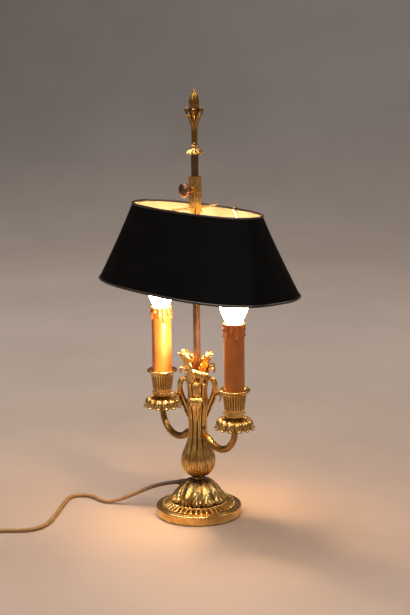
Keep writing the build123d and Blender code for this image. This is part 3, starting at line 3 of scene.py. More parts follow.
import bpy
from mathutils import Matrix, Vector, noise
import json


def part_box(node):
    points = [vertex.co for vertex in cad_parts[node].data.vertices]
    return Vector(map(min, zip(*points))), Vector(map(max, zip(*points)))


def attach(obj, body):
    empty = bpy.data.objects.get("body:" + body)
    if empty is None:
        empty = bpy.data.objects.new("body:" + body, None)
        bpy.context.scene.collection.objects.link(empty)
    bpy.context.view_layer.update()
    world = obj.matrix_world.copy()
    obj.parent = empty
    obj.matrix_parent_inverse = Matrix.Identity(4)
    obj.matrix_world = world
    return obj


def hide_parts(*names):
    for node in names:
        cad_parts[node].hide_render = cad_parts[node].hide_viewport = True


bl_info = {
    "name": "Bouillotte Lamp",
    "version": (1, 0, 0),
    "blender": (4, 5, 0),
    "location": "3D View > Sidebar > Lamp",
    "description": "Dresses the frame of a two-light bouillotte lamp, piece by piece",
    "category": "Object",
}

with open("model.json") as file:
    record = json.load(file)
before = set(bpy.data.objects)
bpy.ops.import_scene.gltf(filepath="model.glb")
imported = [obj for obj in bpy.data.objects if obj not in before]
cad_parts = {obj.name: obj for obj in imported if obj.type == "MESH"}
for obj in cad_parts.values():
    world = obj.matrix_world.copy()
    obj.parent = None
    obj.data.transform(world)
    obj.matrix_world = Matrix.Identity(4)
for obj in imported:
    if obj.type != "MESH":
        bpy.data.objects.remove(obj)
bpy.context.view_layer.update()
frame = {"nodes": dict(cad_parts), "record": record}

MM = 0.001
SEAM_GAP = 1e-6  # points nearer than this, in metres, are merged


# ---------------- places read from the frame
BALUSTER_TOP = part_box("baluster")[1].z
CUP_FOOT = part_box("candle_cup_right")[0].z
PAN_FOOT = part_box("drip_pan_right")[0].z
SLEEVE_FOOT, SLEEVE_TOP = (corner.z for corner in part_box("candle_sleeve_right"))
CANDLE_REACH = sum(corner.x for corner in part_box("candle_cup_right")) / 2
COLLAR_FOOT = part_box("finial_collar")[0].z
FINIAL_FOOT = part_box("finial")[0].z
SIDES = (("right", 1), ("left", -1))


# ---------------- sizes and colours
def size_property(name, description, default, **kind):
    """A number that a user may change; kind is its unit or subtype."""
    return bpy.props.FloatProperty(name=name, description=description, default=default, **kind)


def colour_property(name, description, default):
    """A colour that a user may change."""
    return bpy.props.FloatVectorProperty(name=name, description=description, default=default, subtype="COLOR")


class LampView(bpy.types.PropertyGroup):
    distance: size_property("Distance", "Camera to the lamp's axis, level", 1.7341, unit="LENGTH")
    height: size_property("Height", "Camera above the floor", 0.6101, unit="LENGTH")
    azimuth: size_property("Azimuth", "Turn of the camera round the lamp", 0.8708, subtype="ANGLE")
    yaw: size_property("Yaw", "Turn of the camera away from the axis", 0.0058, subtype="ANGLE")
    pitch: size_property("Pitch", "Downward tilt of the camera", 0.2024, subtype="ANGLE")
    roll: size_property("Roll", "Turn of the picture", -0.0111, subtype="ANGLE")
    lens: size_property("Lens", "Focal length", 87.65, unit="CAMERA")


class LampStage(bpy.types.PropertyGroup):
    # The floor's change of tone is painted light: its falloff from near the lamp to high on the backdrop
    floor_near: colour_property("Floor", "Colour of the floor", (0.405, 0.318, 0.268))
    floor_middle: colour_property("Far floor", "Colour of the floor behind the lamp", (0.43, 0.372, 0.338))
    floor_far: colour_property("Backdrop", "Colour high on the backdrop", (0.25, 0.238, 0.238))
    key_power: size_property("Key light", "Power of the large soft light", 64.0, unit="POWER")
    fill_power: size_property("Fill light", "Power of each light on the camera's side", 8.0, unit="POWER")
    top_power: size_property("Top light", "Power of the light over the lamp's front", 9.0, unit="POWER")
    rim_power: size_property("Side light", "Power of the light on the lamp's right", 8.0, unit="POWER")
    glow_power: size_property("Bulb light", "Power of the bulbs' light on the left candle", 3.4, unit="POWER")
    pool_power: size_property("Pool", "Power of the pool of light on the floor in front", 11.0, unit="POWER")
    world_strength: size_property("Surroundings", "Strength of the even light all round", 0.3)


class LampFinish(bpy.types.PropertyGroup):
    gilt_bright: colour_property("Gilt", "Bright tone of the gilt bronze", (0.88, 0.62, 0.24))
    gilt_deep: colour_property("Deep gilt", "Deep tone of the gilt bronze", (0.58, 0.33, 0.09))
    # The recess tone darkens the gilding both as patina and as painted shade in recesses, creases and between
    # parts
    recess: colour_property("Recesses", "Patina in the recesses", (0.085, 0.038, 0.012))
    bronze: colour_property("Rod", "Darkened bronze of the rod", (0.30, 0.165, 0.10))
    enamel: colour_property("Shade outside", "Enamel outside the shade", (0.0011, 0.0010, 0.0009))
    lining: colour_property("Shade inside", "Paint inside the shade", (0.60, 0.48, 0.32))
    wax: colour_property("Candle", "Wax colour of the candle sleeves", (0.43, 0.148, 0.027))
    glow: colour_property("Glow", "Colour of the lit bulbs", (1.0, 0.60, 0.28))
    glow_strength: size_property("Glow strength", "Brightness of the lit bulbs", 34.0)
    cord: colour_property("Cord", "Gold-coloured plastic of the cord", (0.40, 0.22, 0.08))
    black: colour_property("Fittings", "Moulded plastic of the plug and the switch", (0.02, 0.018, 0.016))


class LampCord(bpy.types.PropertyGroup):
    length: size_property("Length", "Length of the cord", 1.78, unit="LENGTH")
    diameter: size_property("Diameter", "Diameter of the cord", 0.005, unit="LENGTH")


# ---------------- modelling helpers
def select_only(*pieces):
    """Deselects everything, then selects these pieces, the first of them active."""
    bpy.ops.object.select_all(action="DESELECT")
    for piece in pieces:
        piece.select_set(True)
    bpy.context.view_layer.objects.active = pieces[0]


def edit_all(*steps):
    """Runs edit-mode steps, each an operator and its options, on the whole active mesh."""
    bpy.ops.object.mode_set(mode="EDIT")
    bpy.ops.mesh.select_all(action="SELECT")
    for step, options in steps:
        step(**options)
    bpy.ops.object.mode_set(mode="OBJECT")


def added(name, add, **options):
    """Adds an object by an operator while nothing else is selected, and names it."""
    bpy.ops.object.select_all(action="DESELECT")
    add(**options)
    bpy.context.object.name = name
    return bpy.context.object


def shaped_grid(name, across, along, place):
    """Adds a grid and moves its points to place(u, v), where u and v run from 0 to 1.

    A fourth number in a place is how much painted shade darkens it there, kept as a point attribute."""
    piece = added(
        name, bpy.ops.mesh.primitive_grid_add, x_subdivisions=across, y_subdivisions=along, size=1.0
    )
    spots = [place(vertex.co.x + 0.5, vertex.co.y + 0.5) for vertex in piece.data.vertices]
    for vertex, spot in zip(piece.data.vertices, spots):
        vertex.co = spot[:3]
    # The point attribute holds the painted shade
    stain = piece.data.attributes.new("stain", "FLOAT", "POINT")
    for value, spot in zip(stain.data, spots):
        value.value = spot[3] if len(spot) > 3 else 0.0
    return piece


def with_painted_shade(spot, amount):
    """A place with an amount of painted shade, from 0 to 1."""
    return (*spot, min(max(amount, 0.0), 1.0))


def close_seams(piece):
    """Merges doubled points and turns the faces outwards."""
    select_only(piece)
    edit_all(
        (bpy.ops.mesh.remove_doubles, {"threshold": SEAM_GAP}),
        (bpy.ops.mesh.normals_make_consistent, {"inside": False}),
    )
    return piece


def apply_modifier(piece, kind, **settings):
    """Adds a modifier with these settings and applies it."""
    select_only(piece)
    bpy.ops.object.modifier_add(type=kind)
    modifier = piece.modifiers[-1]
    for key, value in settings.items():
        setattr(modifier, key, value)
    bpy.ops.object.modifier_apply(modifier=modifier.name)
    return piece


def smooth(piece, angle=None):
    """Shades smooth all over, or only across edges flatter than an angle."""
    select_only(piece)
    if angle is None:
        bpy.ops.object.shade_smooth()
    else:
        bpy.ops.object.shade_smooth_by_angle(angle=angle)
    return piece


def skin(name, across, along, place, angle=None, filled=False):
    """A smooth grid over place(u, v) with closed seams; filled closes the holes at its ends too."""
    piece = close_seams(shaped_grid(name, across, along, place))
    if filled:
        select_only(piece)
        edit_all((bpy.ops.mesh.fill_holes, {"sides": 0}))
        close_seams(piece)
    return smooth(piece, angle)


def copied(piece, placement):
    """A copy with its own mesh, moved by a matrix."""
    select_only(piece)
    bpy.ops.object.duplicate(linked=False)
    copy = bpy.context.object
    copy.data.transform(placement)
    return copy


def ring_of(piece, count, start=0.0):
    """Repeats a piece evenly round the upright axis and joins the copies."""
    copies = [copied(piece, Matrix.Rotation(start + tau * k / count, 4, "Z")) for k in range(count)]
    bpy.data.objects.remove(piece)
    return joined(copies)


def joined(pieces):
    """Joins pieces into the first of them."""
    select_only(*pieces)
    if len(pieces) > 1:
        bpy.ops.object.join()
    return pieces[0]


def finish_piece(piece, name, body, slot, finish, *replaced):
    """Names a piece, gives it its finish, lets it ride on its body and puts it in its nodes' place."""
    select_only(piece)
    bpy.ops.object.transform_apply(location=True, rotation=True, scale=True)
    piece.name = name
    piece.data.name = name
    piece.data.materials.clear()
    piece.data.materials.append(finish_of(finish))
    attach(piece, body)
    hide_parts(*replaced)


def gild(piece, name, *replaced):
    """Finishes a gilt piece of the stand."""
    finish_piece(piece, name, "stand", "gilt_brass", "gilt_bronze", *replaced)


def on_both_sides(pattern, name, foot, slot, finish, node, left_turn=0.0):
    """Finishes a copy of a pattern on each candle's axis, its foot at a level, and removes the pattern."""
    for side, sign in SIDES:
        turn = Matrix.Rotation(left_turn if side == "left" else 0.0, 4, "Z")
        piece = copied(pattern, Matrix.Translation((sign * CANDLE_REACH, 0, foot)) @ turn)
        finish_piece(piece, f"{name}_{side}", "stand", slot, finish, f"{node}_{side}")
    bpy.data.objects.remove(pattern)


# ---------------- material helpers
def add_node(tree, kind, inputs=None, **settings):
    """Adds a shader node, sets its properties, and sets or links its inputs."""
    made = tree.nodes.new(kind)
    for key, value in settings.items():
        setattr(made, key, value)
    for key, value in (inputs or {}).items():
        if isinstance(value, bpy.types.NodeSocket):
            tree.links.new(value, made.inputs[key])
        else:
            made.inputs[key].default_value = value
    return made


def mixed(tree, factor, first, second, blend="MIX"):
    """The colour of two, mixed by a factor."""
    mix = tree.nodes.new("ShaderNodeMix")
    mix.data_type = "RGBA"
    mix.blend_type = blend
    for socket, value in ((mix.inputs[0], factor), (mix.inputs[6], first), (mix.inputs[7], second)):
        if isinstance(value, bpy.types.NodeSocket):
            tree.links.new(value, socket)
        else:
            socket.default_value = value
    return mix.outputs[2]


def solved(tree, operation, first, second=0.0, clamp=False):
    """The result of one sum on one or two numbers."""
    node = add_node(tree, "ShaderNodeMath", {0: first, 1: second}, operation=operation, use_clamp=clamp)
    return node.outputs[0]


def times(tree, first, second):
    return solved(tree, "MULTIPLY", first, second)


def plus(tree, first, second, clamp=False):
    return solved(tree, "ADD", first, second, clamp)


def vector_sum(tree, operation, *vectors):
    """The number that a sum on vectors gives, such as a length or a dot product."""
    node = add_node(tree, "ShaderNodeVectorMath", dict(enumerate(vectors)), operation=operation)
    return node.outputs["Value"]


def ranged(tree, value, low, high, to_low=0.0, to_high=1.0):
    """A value's place between two limits, smoothly stepped."""
    node = add_node(
        tree,
        "ShaderNodeMapRange",
        {"Value": value, "From Min": low, "From Max": high, "To Min": to_low, "To Max": to_high},
        interpolation_type="SMOOTHSTEP",
    )
    return node.outputs[0]


def opaque(colour):
    return (*colour, 1.0)


def scaled(colour, *shares):
    """A colour times one share, or times one share for each of its three parts."""
    return tuple(part * share for part, share in zip(colour, 3 * shares))


def noise_at(tree, place, scale, detail=2.0, roughness=0.5):
    """The value of a noise texture with scale features to the metre."""
    return add_node(
        tree,
        "ShaderNodeTexNoise",
        {"Vector": place, "Scale": scale, "Detail": detail, "Roughness": roughness},
    ).outputs[0]


NUMBER, TINT, DIRECTION = "NodeSocketFloat", "NodeSocketColor", "NodeSocketVector"
SURFACE = ((TINT, "Colour"), (NUMBER, "Roughness"), (NUMBER, "Height"))
groups = {}


def shared_group(name, inputs, fill):
    """A group, made when first asked for; fill(tree, inputs) gives its colour, roughness and height."""
    if name not in groups:
        group = groups[name] = bpy.data.node_groups.new(name, "ShaderNodeTree")
        for kind, label in inputs:
            group.interface.new_socket(name=label, in_out="INPUT", socket_type=kind)
        for kind, label in SURFACE:
            group.interface.new_socket(name=label, in_out="OUTPUT", socket_type=kind)
        start, end = group.nodes.new("NodeGroupInput"), group.nodes.new("NodeGroupOutput")
        for (_, label), value in zip(SURFACE, fill(group, start.outputs)):
            group.links.new(value, end.inputs[label])
    return groups[name]


# A casting darkens its sheltered recesses, as patina and painted shade, and takes more painted shade from its
# mesh
CASTING_INPUTS = (
    (DIRECTION, "Place"), (TINT, "Bright"), (TINT, "Deep"), (TINT, "Recess"), (NUMBER, "Patina"),
    (NUMBER, "Stain"), (NUMBER, "Reach"), (NUMBER, "Gloss"), (NUMBER, "Grain"),
)
# Features to the metre of a casting's mottling, clouding and grain
MOTTLE_SCALE, CLOUD_SCALE, GRAIN_SCALE = 46.0, 210.0, 1500.0


def aged_casting(tree, given):
    """Gilding that is deep and dull in the recesses, as patina and painted shade, bright where it is open,
    and darker where the mesh carries painted shade.
    """
    mottle = noise_at(tree, given["Place"], MOTTLE_SCALE, 4.0, 0.6)
    cloud = noise_at(tree, given["Place"], CLOUD_SCALE, 3.0, 0.65)
    grain = noise_at(tree, given["Place"], GRAIN_SCALE)
    # Sheltered recesses darken: partly patina, partly painted shade
    shelter = add_node(tree, "ShaderNodeAmbientOcclusion", {"Distance": given["Reach"]}, samples=6)
    hidden = solved(tree, "SUBTRACT", 1.0, ranged(tree, shelter.outputs["AO"], 0.25, 0.85))
    blotch = ranged(tree, cloud, 0.35, 0.75, 0.65, 1.25)
    patina_and_shade = times(tree, times(tree, hidden, blotch), given["Patina"])
    # The mesh's own painted shade darkens it further
    patina_and_shade = plus(tree, patina_and_shade, times(tree, given["Stain"], blotch), clamp=True)
    metal = mixed(tree, ranged(tree, mottle, 0.36, 0.66), given["Bright"], given["Deep"])
    rough = times(tree, solved(tree, "SUBTRACT", cloud, 0.5), 0.16)
    rough = plus(tree, rough, given["Gloss"])
    rough = plus(tree, rough, times(tree, patina_and_shade, 0.3), clamp=True)
    height = times(tree, plus(tree, grain, cloud), given["Grain"])
    return mixed(tree, patina_and_shade, metal, given["Recess"]), rough, height


GRAIN_INPUTS = (
    (DIRECTION, "Place"), (TINT, "Colour"), (TINT, "Second"), (NUMBER, "Scale"), (NUMBER, "Spread"),
    (NUMBER, "Roughness"), (NUMBER, "Rough spread"),
)


def fine_grain(tree, given):
    """Small unevenness for moulded, painted and waxed surfaces."""
    broad = noise_at(tree, given["Place"], times(tree, given["Scale"], 0.15), 3.0)
    small = noise_at(tree, given["Place"], given["Scale"], 3.0)
    share = times(tree, ranged(tree, broad, 0.3, 0.7), given["Spread"])
    swing = times(tree, solved(tree, "SUBTRACT", small, 0.5), given["Rough spread"])
    rough = plus(tree, given["Roughness"], swing, clamp=True)
    return mixed(tree, share, given["Colour"], given["Second"]), rough, small


def blank_material(name):
    """A material with only a Principled shader and its output, and the object's own coordinates."""
    material = bpy.data.materials.new(name)
    material.use_nodes = True
    tree = material.node_tree
    shader = tree.nodes["Principled BSDF"]
    place = tree.nodes.new("ShaderNodeTexCoord").outputs["Object"]
    return material, tree, shader, place


def add_bump(tree, shader, height, distance, strength=1.0):
    """Bumps a shader's surface by a height, at a depth in metres."""
    bump = add_node(tree, "ShaderNodeBump", {"Height": height, "Distance": distance, "Strength": strength})
    tree.links.new(bump.outputs[0], shader.inputs["Normal"])


def surfaced(name, group, inputs, depth, strength):
    """A material dressed by a shared group, its shader and the group's node; depth is in metres."""
    material, tree, shader, place = blank_material(name)
    look = add_node(tree, "ShaderNodeGroup", {"Place": place, **inputs}, node_tree=group)
    tree.links.new(look.outputs["Colour"], shader.inputs["Base Color"])
    tree.links.new(look.outputs["Roughness"], shader.inputs["Roughness"])
    add_bump(tree, shader, look.outputs["Height"], depth, strength)
    return material, shader, look


def cast_metal(name, bright, deep, recess, gloss, patina=1.0, reach=4 * MM, grain=1.0):
    """Cast or wrought metal darkened in its recesses, as patina and painted shade, and where its mesh carries
    painted shade.
    """
    inputs = {
        "Bright": opaque(bright), "Deep": opaque(deep), "Recess": opaque(recess),
        "Patina": patina, "Reach": reach, "Gloss": gloss, "Grain": grain,
    }
    group = shared_group("Aged casting", CASTING_INPUTS, aged_casting)
    material, shader, look = surfaced(name, group, inputs, 0.08 * MM, 0.6)
    # The mesh's point attribute of painted shade darkens the gilding
    stain = add_node(material.node_tree, "ShaderNodeAttribute", attribute_name="stain")
    material.node_tree.links.new(stain.outputs["Fac"], look.inputs["Stain"])
    shader.inputs["Metallic"].default_value = 1.0
    return material


def grained(name, colour, second, roughness, scale=400.0, spread=0.5, depth=0.05 * MM, **sockets):
    """A painted, moulded or waxed surface; other Principled inputs are set by name."""
    inputs = {
        "Colour": opaque(colour), "Second": opaque(second), "Scale": scale, "Spread": spread,
        "Roughness": roughness, "Rough spread": 0.2,
    }
    group = shared_group("Fine grain", GRAIN_INPUTS, fine_grain)
    material, shader, _ = surfaced(name, group, inputs, depth, 0.5)
    for label, value in sockets.items():
        shader.inputs[label.replace("_", " ")].default_value = value
    return material


# ---------------- finishes
def cord_plastic(name, tones):
    """Gold-coloured plastic, painted dark brown where it leaves the dome: a painted shadow of the lamp on the
    cord.
    """
    near, far = 55 * MM, 95 * MM
    # Dark brown of the painted shadow near the dome
    painted_shadow_tone = (0.045, 0.024, 0.012)
    material = grained(name, tones.cord, scaled(tones.cord, 0.55), 0.34, 900, 0.6, Coat_Weight=0.3)
    tree = material.node_tree
    target = tree.nodes["Principled BSDF"].inputs["Base Color"]
    place = tree.nodes.new("ShaderNodeTexCoord").outputs["Object"]
    # Distance from the dome, which sets how far the painted shadow reaches
    away = vector_sum(tree, "LENGTH", place)
    unshaded_colour = target.links[0].from_socket
    tree.links.new(mixed(tree, ranged(tree, away, near, far), opaque(painted_shadow_tone), unshaded_colour), target)
    return material


def shade_paint(name, tones):
    """Black enamel outside, pale paint inside, told apart by which side of the oval wall faces out."""
    material, tree, shader, place = blank_material(name)
    outward = add_node(tree, "ShaderNodeNewGeometry").outputs["Normal"]
    oval = (0.35, 1.0, 0.0)  # turns a place on the wall into the way out of the oval there
    way_out = add_node(tree, "ShaderNodeVectorMath", {0: place, 1: oval}, operation="MULTIPLY").outputs[0]
    facing = vector_sum(tree, "DOT_PRODUCT", way_out, outward)
    inside = solved(tree, "LESS_THAN", facing, 0.0)
    blemish = noise_at(tree, place, 35.0, 6.0, 0.7)
    dusty = tuple(tone * 1.6 + 0.0004 for tone in tones.enamel)
    outer = mixed(tree, ranged(tree, blemish, 0.45, 0.8), opaque(tones.enamel), opaque(dusty))
    warm = scaled(tones.lining, 0.86, 0.74, 0.58)
    inner = mixed(tree, ranged(tree, blemish, 0.4, 0.75), opaque(tones.lining), opaque(warm))
    tree.links.new(mixed(tree, inside, outer, inner), shader.inputs["Base Color"])
    tree.links.new(ranged(tree, blemish, 0.3, 0.75, 0.5, 0.66), shader.inputs["Roughness"])
    add_bump(tree, shader, noise_at(tree, place, 700.0), 0.05 * MM, 0.6)
    shader.inputs["Specular IOR Level"].default_value = 0.06
    return material


def lit_glass(name, tones):
    """Frosted glass round a lit filament: brightest round the middle of the bulb."""
    material, tree, shader, place = blank_material(name)
    height = add_node(tree, "ShaderNodeSeparateXYZ", {"Vector": place}).outputs["Z"]
    low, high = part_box("bulb_glass_right")
    lift = ranged(tree, height, low.z - 4 * MM, low.z + 0.3 * (high.z - low.z))
    pale = (1.0, 0.76, 0.46, 1.0)
    tree.links.new(mixed(tree, lift, opaque(tones.glow), pale), shader.inputs["Emission Color"])
    add_bump(tree, shader, noise_at(tree, place, 900.0), 0.02 * MM, 0.5)
    shader.inputs["Base Color"].default_value = (0.95, 0.9, 0.82, 1.0)
    shader.inputs["Emission Strength"].default_value = tones.glow_strength
    shader.inputs["Roughness"].default_value = 0.3
    return material


def finish_recipes(tones):
    """How each material is made: its maker, what that is given and the settings that differ."""
    gilt, deep, recess = tones.gilt_bright, tones.gilt_deep, tones.recess
    bronze, wax = tones.bronze, tones.wax
    return {
        "gilt_bronze": (cast_metal, (gilt, deep, recess, 0.24), {}),
        "worn_gilt": (
            cast_metal, (scaled(deep, 0.7), scaled(deep, 0.5), recess, 0.26),
            {"patina": 1.3, "reach": 6 * MM},
        ),
        "polished_gilt": (cast_metal, (gilt, deep, recess, 0.27), {"patina": 0.7, "grain": 0.4}),
        "dark_bronze": (
            cast_metal, (bronze, scaled(bronze, 0.6), recess, 0.34), {"patina": 0.6, "grain": 0.7}
        ),
        "zinc_steel": (cast_metal, ((0.62, 0.62, 0.6), (0.5,) * 3, (0.1,) * 3, 0.35), {"grain": 0.5}),
        "nickel": (
            cast_metal, ((0.8, 0.78, 0.72), (0.7, 0.68, 0.62), (0.2, 0.18, 0.15), 0.18), {"grain": 0.4}
        ),
        "cap_metal": (
            cast_metal, ((0.75, 0.74, 0.72), (0.66, 0.65, 0.62), (0.2,) * 3, 0.3), {"grain": 0.5}
        ),
        "bead_paint": (
            grained, ((0.012, 0.009, 0.007), (0.03, 0.02, 0.014), 0.3), {"scale": 900, "Coat_Weight": 0.2}
        ),
        "felt": (
            grained, ((0.05, 0.09, 0.06), (0.03, 0.05, 0.035), 0.95),
            {"scale": 1800, "depth": 0.3 * MM, "Sheen_Weight": 0.4},
        ),
        "black_plastic": (
            grained, (tones.black, (0.035, 0.03, 0.028), 0.36), {"scale": 1200, "Coat_Weight": 0.2}
        ),
        "holder_plastic": (grained, ((0.78, 0.74, 0.66), (0.66, 0.62, 0.55), 0.45), {"scale": 700}),
        "wire_plastic": (grained, ((0.8, 0.78, 0.74), (0.7, 0.68, 0.64), 0.4), {"scale": 700}),
        "grommet_rubber": (grained, ((0.05, 0.028, 0.014), (0.03, 0.018, 0.01), 0.5), {"scale": 1100}),
        "wax": (
            grained, (wax, scaled(wax, 0.72, 0.6, 0.45), 0.42, 240, 0.7, 0.12 * MM),
            {"Subsurface_Weight": 0.15, "Subsurface_Scale": 0.004, "Coat_Weight": 0.15},
        ),
        "cord_plastic": (cord_plastic, (tones,), {}),
        "shade_paint": (shade_paint, (tones,), {}),
        "lit_glass": (lit_glass, (tones,), {}),
    }


finishes = {}


def finish_of(name):
    """The lamp's material of that name, made when it is first asked for."""
    if name not in finishes:
        make, given, settings = finish_recipes(bpy.context.scene.lamp_finish)[name]
        finishes[name] = make(name, *given, **settings)
    return finishes[name]


# Slots whose finish has another name than the slot
SLOT_FINISHES = {
    "gilt_brass": "gilt_bronze",
    "bulb_cap_metal": "cap_metal",
    "bulb_glass": "lit_glass",
    "candle_wax": "wax",
    "cord_gold": "cord_plastic",
    "wire_white": "wire_plastic",
    "pin_metal": "nickel",
}
# Nodes whose finish isn't their slot's
NODE_FINISHES = {
    "shade_rod": "dark_bronze",
    "clamp_screw": "dark_bronze",
    "rod_screws": "dark_bronze",
    "slide_block": "polished_gilt",
    "shade_spider": "polished_gilt",
    "rim_clips": "polished_gilt",
    "cord_grommet": "grommet_rubber",
    "arm_left": "worn_gilt",
    "arm_right": "worn_gilt",
}


# ---------------- camera and stage
class LAMP_OT_camera(bpy.types.Operator):
    """Places the camera"""

    bl_idname = "lamp.camera"
    bl_label = "Camera"

    def execute(self, context):
        view = context.scene.lamp_view
        ahead = Vector((sin(view.yaw), cos(view.yaw), 0))
        forward = ahead * cos(view.pitch) - Vector((0, 0, sin(view.pitch)))
        level = Vector((cos(view.yaw), -sin(view.yaw), 0))
        upward = level.cross(forward)
        right = level * cos(view.roll) + upward * sin(view.roll)
        up = upward * cos(view.roll) - level * sin(view.roll)
        facing = Matrix((right, up, -forward)).transposed().to_4x4()
        camera = added("camera", bpy.ops.object.camera_add)
        camera.data.lens = view.lens
        camera.data.sensor_fit = "VERTICAL"
        camera.data.sensor_height = 36.0
        stand = Matrix.Translation((0, -view.distance, view.height)) @ facing
        camera.matrix_world = Matrix.Rotation(view.azimuth, 4, "Z") @ stand
        context.scene.camera = camera
        return {"FINISHED"}


def aimed_light(kind, name, spot, aim, power, colour, **shape):
    """A light at one place that faces another; shape holds its own settings."""
    light = added(name, bpy.ops.object.light_add, type=kind, location=spot)
    light.rotation_euler = (Vector(aim) - Vector(spot)).to_track_quat("-Z", "Y").to_euler()
    light.data.energy = power
    light.data.color = colour
    for key, value in shape.items():
        setattr(light.data, key, value)


class LAMP_OT_stage(bpy.types.Operator):
    """Makes the floor, the backdrop and the studio lights"""

    bl_idname = "lamp.stage"
    bl_label = "Stage"

    WIDTH = 9.0
    FRONT = 3.5
    BACK = 1.9
    SWEEP = 1.6
    WALL = 2.2
    # The paper's tones paint the falloff of the studio light
    # The paper's tones change with the way back plus this share of the height
    CLIMB = 1.4
    # Where the middle tone and the far tone come in, in metres
    MIDDLE_TONE = (-0.1, 1.1)
    FAR_TONE = (1.4, 3.4)
    # Where the backdrop is painted brighter towards the right, as painted light, and by how much to the metre
    # before and after
    PAINTED_RIGHTWARD_LIGHT = (1.8, 3.8, 0.03, 0.42)
    SKY = (0.62, 0.46, 0.34, 1.0)
    # Name, turn from the camera, distance, height, size, power and colour of each soft light
    SOFT_LIGHTS = (
        ("key", -2.3, 1.25, 3.1, 2.2, "key_power", (1.0, 0.95, 0.9)),
        ("fill", -0.9, 1.9, 1.5, 0.8, "fill_power", (1.0, 0.93, 0.85)),
        ("front", 0.1, 1.6, 1.8, 0.35, "fill_power", (1.0, 0.9, 0.78)),
        ("top", -0.5, 0.7, 2.2, 0.9, "top_power", (1.0, 0.94, 0.88)),
        ("rim", 1.7, 1.5, 1.6, 0.7, "rim_power", (1.0, 0.93, 0.86)),
    )
    AIM = (0, 0, 0.22)
    # How far a filament is in from its candle's axis and above the candle
    FILAMENT = (21 * MM, 14 * MM)
    # Share of its power that the bulbs' light throws on the crown
    CROWN_SHARE = 0.7
    # Cone and radius of the bulbs' light on the crown, on the left candle and on the floor
    CROWN_GLOW = (radians(95), 10 * MM)
    CANDLE_GLOW = (radians(86), 12 * MM)
    POOL = (radians(30), 60 * MM)

    def sweep_point(self, u, v):
        """Floor for the first part of v, then a quarter round, then a wall."""
        floor_run = self.FRONT + self.BACK
        arc_run = self.SWEEP * pi / 2
        run = v * (floor_run + arc_run + self.WALL)
        side = (u - 0.5) * self.WIDTH
        if run < floor_run:
            return Vector((side, run - self.FRONT, 0))
        if run < floor_run + arc_run:
            turn = (run - floor_run) / self.SWEEP
            return Vector((side, self.BACK + self.SWEEP * sin(turn), self.SWEEP * (1 - cos(turn))))
        return Vector((side, self.BACK + self.SWEEP, self.SWEEP + run - floor_run - arc_run))

    def paper(self, look, away, across):
        """Seamless paper whose change of tone is painted light: browner near the lamp, darker and greyer high
        on the backdrop, and brighter to the right.
        """
        material, tree, shader, place = blank_material("paper")
        back, sideways = (vector_sum(tree, "DOT_PRODUCT", place, way) for way in (away, across))
        height = add_node(tree, "ShaderNodeSeparateXYZ", {"Vector": place}).outputs["Z"]
        climb = plus(tree, back, times(tree, height, self.CLIMB))
        middle = ranged(tree, climb, *self.MIDDLE_TONE)
        tone = mixed(tree, middle, opaque(look.floor_near), opaque(look.floor_middle))
        tone = mixed(tree, ranged(tree, climb, *self.FAR_TONE), tone, opaque(look.floor_far))
        painted_light = times(tree, sideways, ranged(tree, climb, *self.PAINTED_RIGHTWARD_LIGHT))
        fibre = ranged(tree, noise_at(tree, place, 3.0, 8.0, 0.6), 0.3, 0.7, 0.94, 1.04)
        shift = plus(tree, fibre, painted_light)
        shift = add_node(tree, "ShaderNodeCombineColor", {0: shift, 1: shift, 2: shift}).outputs[0]
        tree.links.new(mixed(tree, 1.0, tone, shift, "MULTIPLY"), shader.inputs["Base Color"])
        shader.inputs["Roughness"].default_value = 0.7
        return material

    def bulb_light(self, name, spot, aim, power, colour, size):
        """A soft-edged cone of the light that the bulbs throw."""
        cone, radius = size
        aimed_light(
            "SPOT", name, spot, aim, power, colour, spot_size=cone, spot_blend=0.9, shadow_soft_size=radius
        )

    def execute(self, context):
        look = context.scene.lamp_stage
        azimuth = context.scene.lamp_view.azimuth
        turn = Matrix.Rotation(azimuth, 4, "Z")
        away, across = turn @ Vector((0, 1, 0)), turn @ Vector((1, 0, 0))
        floor = smooth(shaped_grid("floor", 4, 96, self.sweep_point))
        floor.data.transform(turn)
        floor.data.materials.append(self.paper(look, away, across))
        for name, swing, distance, height, size, power, colour in self.SOFT_LIGHTS:
            spot = (sin(azimuth + swing) * distance, -cos(azimuth + swing) * distance, height)
            aimed_light("AREA", name, spot, self.AIM, getattr(look, power), colour, size=size)
        glow, glow_power = context.scene.lamp_finish.glow, look.glow_power
        inwards, above = self.FILAMENT
        crown, crown_power = (0, 0, BALUSTER_TOP), self.CROWN_SHARE * glow_power
        for side, sign in SIDES:
            filament = (sign * (CANDLE_REACH - inwards), 0, SLEEVE_TOP + above)
            self.bulb_light(f"glow_{side}", filament, crown, crown_power, glow, self.CROWN_GLOW)
        level = (SLEEVE_FOOT + 2 * SLEEVE_TOP) / 3
        beside = Vector((12 * MM, 0, level)) - 0.035 * away
        candle = (-CANDLE_REACH, 0, level - 8 * MM)
        self.bulb_light("glow_across", beside, candle, glow_power, (1.0, 0.74, 0.46), self.CANDLE_GLOW)
        overhead = Vector((0, 0, 1.5)) - 0.62 * away
        self.bulb_light("pool", overhead, -0.5 * away, look.pool_power, (1.0, 0.82, 0.66), self.POOL)
        world = context.scene.world = bpy.data.worlds.new("surroundings")
        world.use_nodes = True
        sky = world.node_tree.nodes["Background"]
        sky.inputs["Color"].default_value = self.SKY
        sky.inputs["Strength"].default_value = look.world_strength
        return {"FINISHED"}


class LAMP_OT_frame_finish(bpy.types.Operator):
    """Gives every piece of the frame its own finish"""

    bl_idname = "lamp.frame_finish"
    bl_label = "Finish of the frame"

    def execute(self, context):
        slots = {entry["node"]: entry["material_slot"] for entry in frame["record"]["subparts"]}
        for name, node in frame["nodes"].items():
            slot = slots[name]
            finish = finish_of(NODE_FINISHES.get(name, SLOT_FINISHES.get(slot, slot)))
            if node.material_slots:
                node.material_slots[0].material = finish
            else:
                node.data.materials.append(finish)
        return {"FINISHED"}


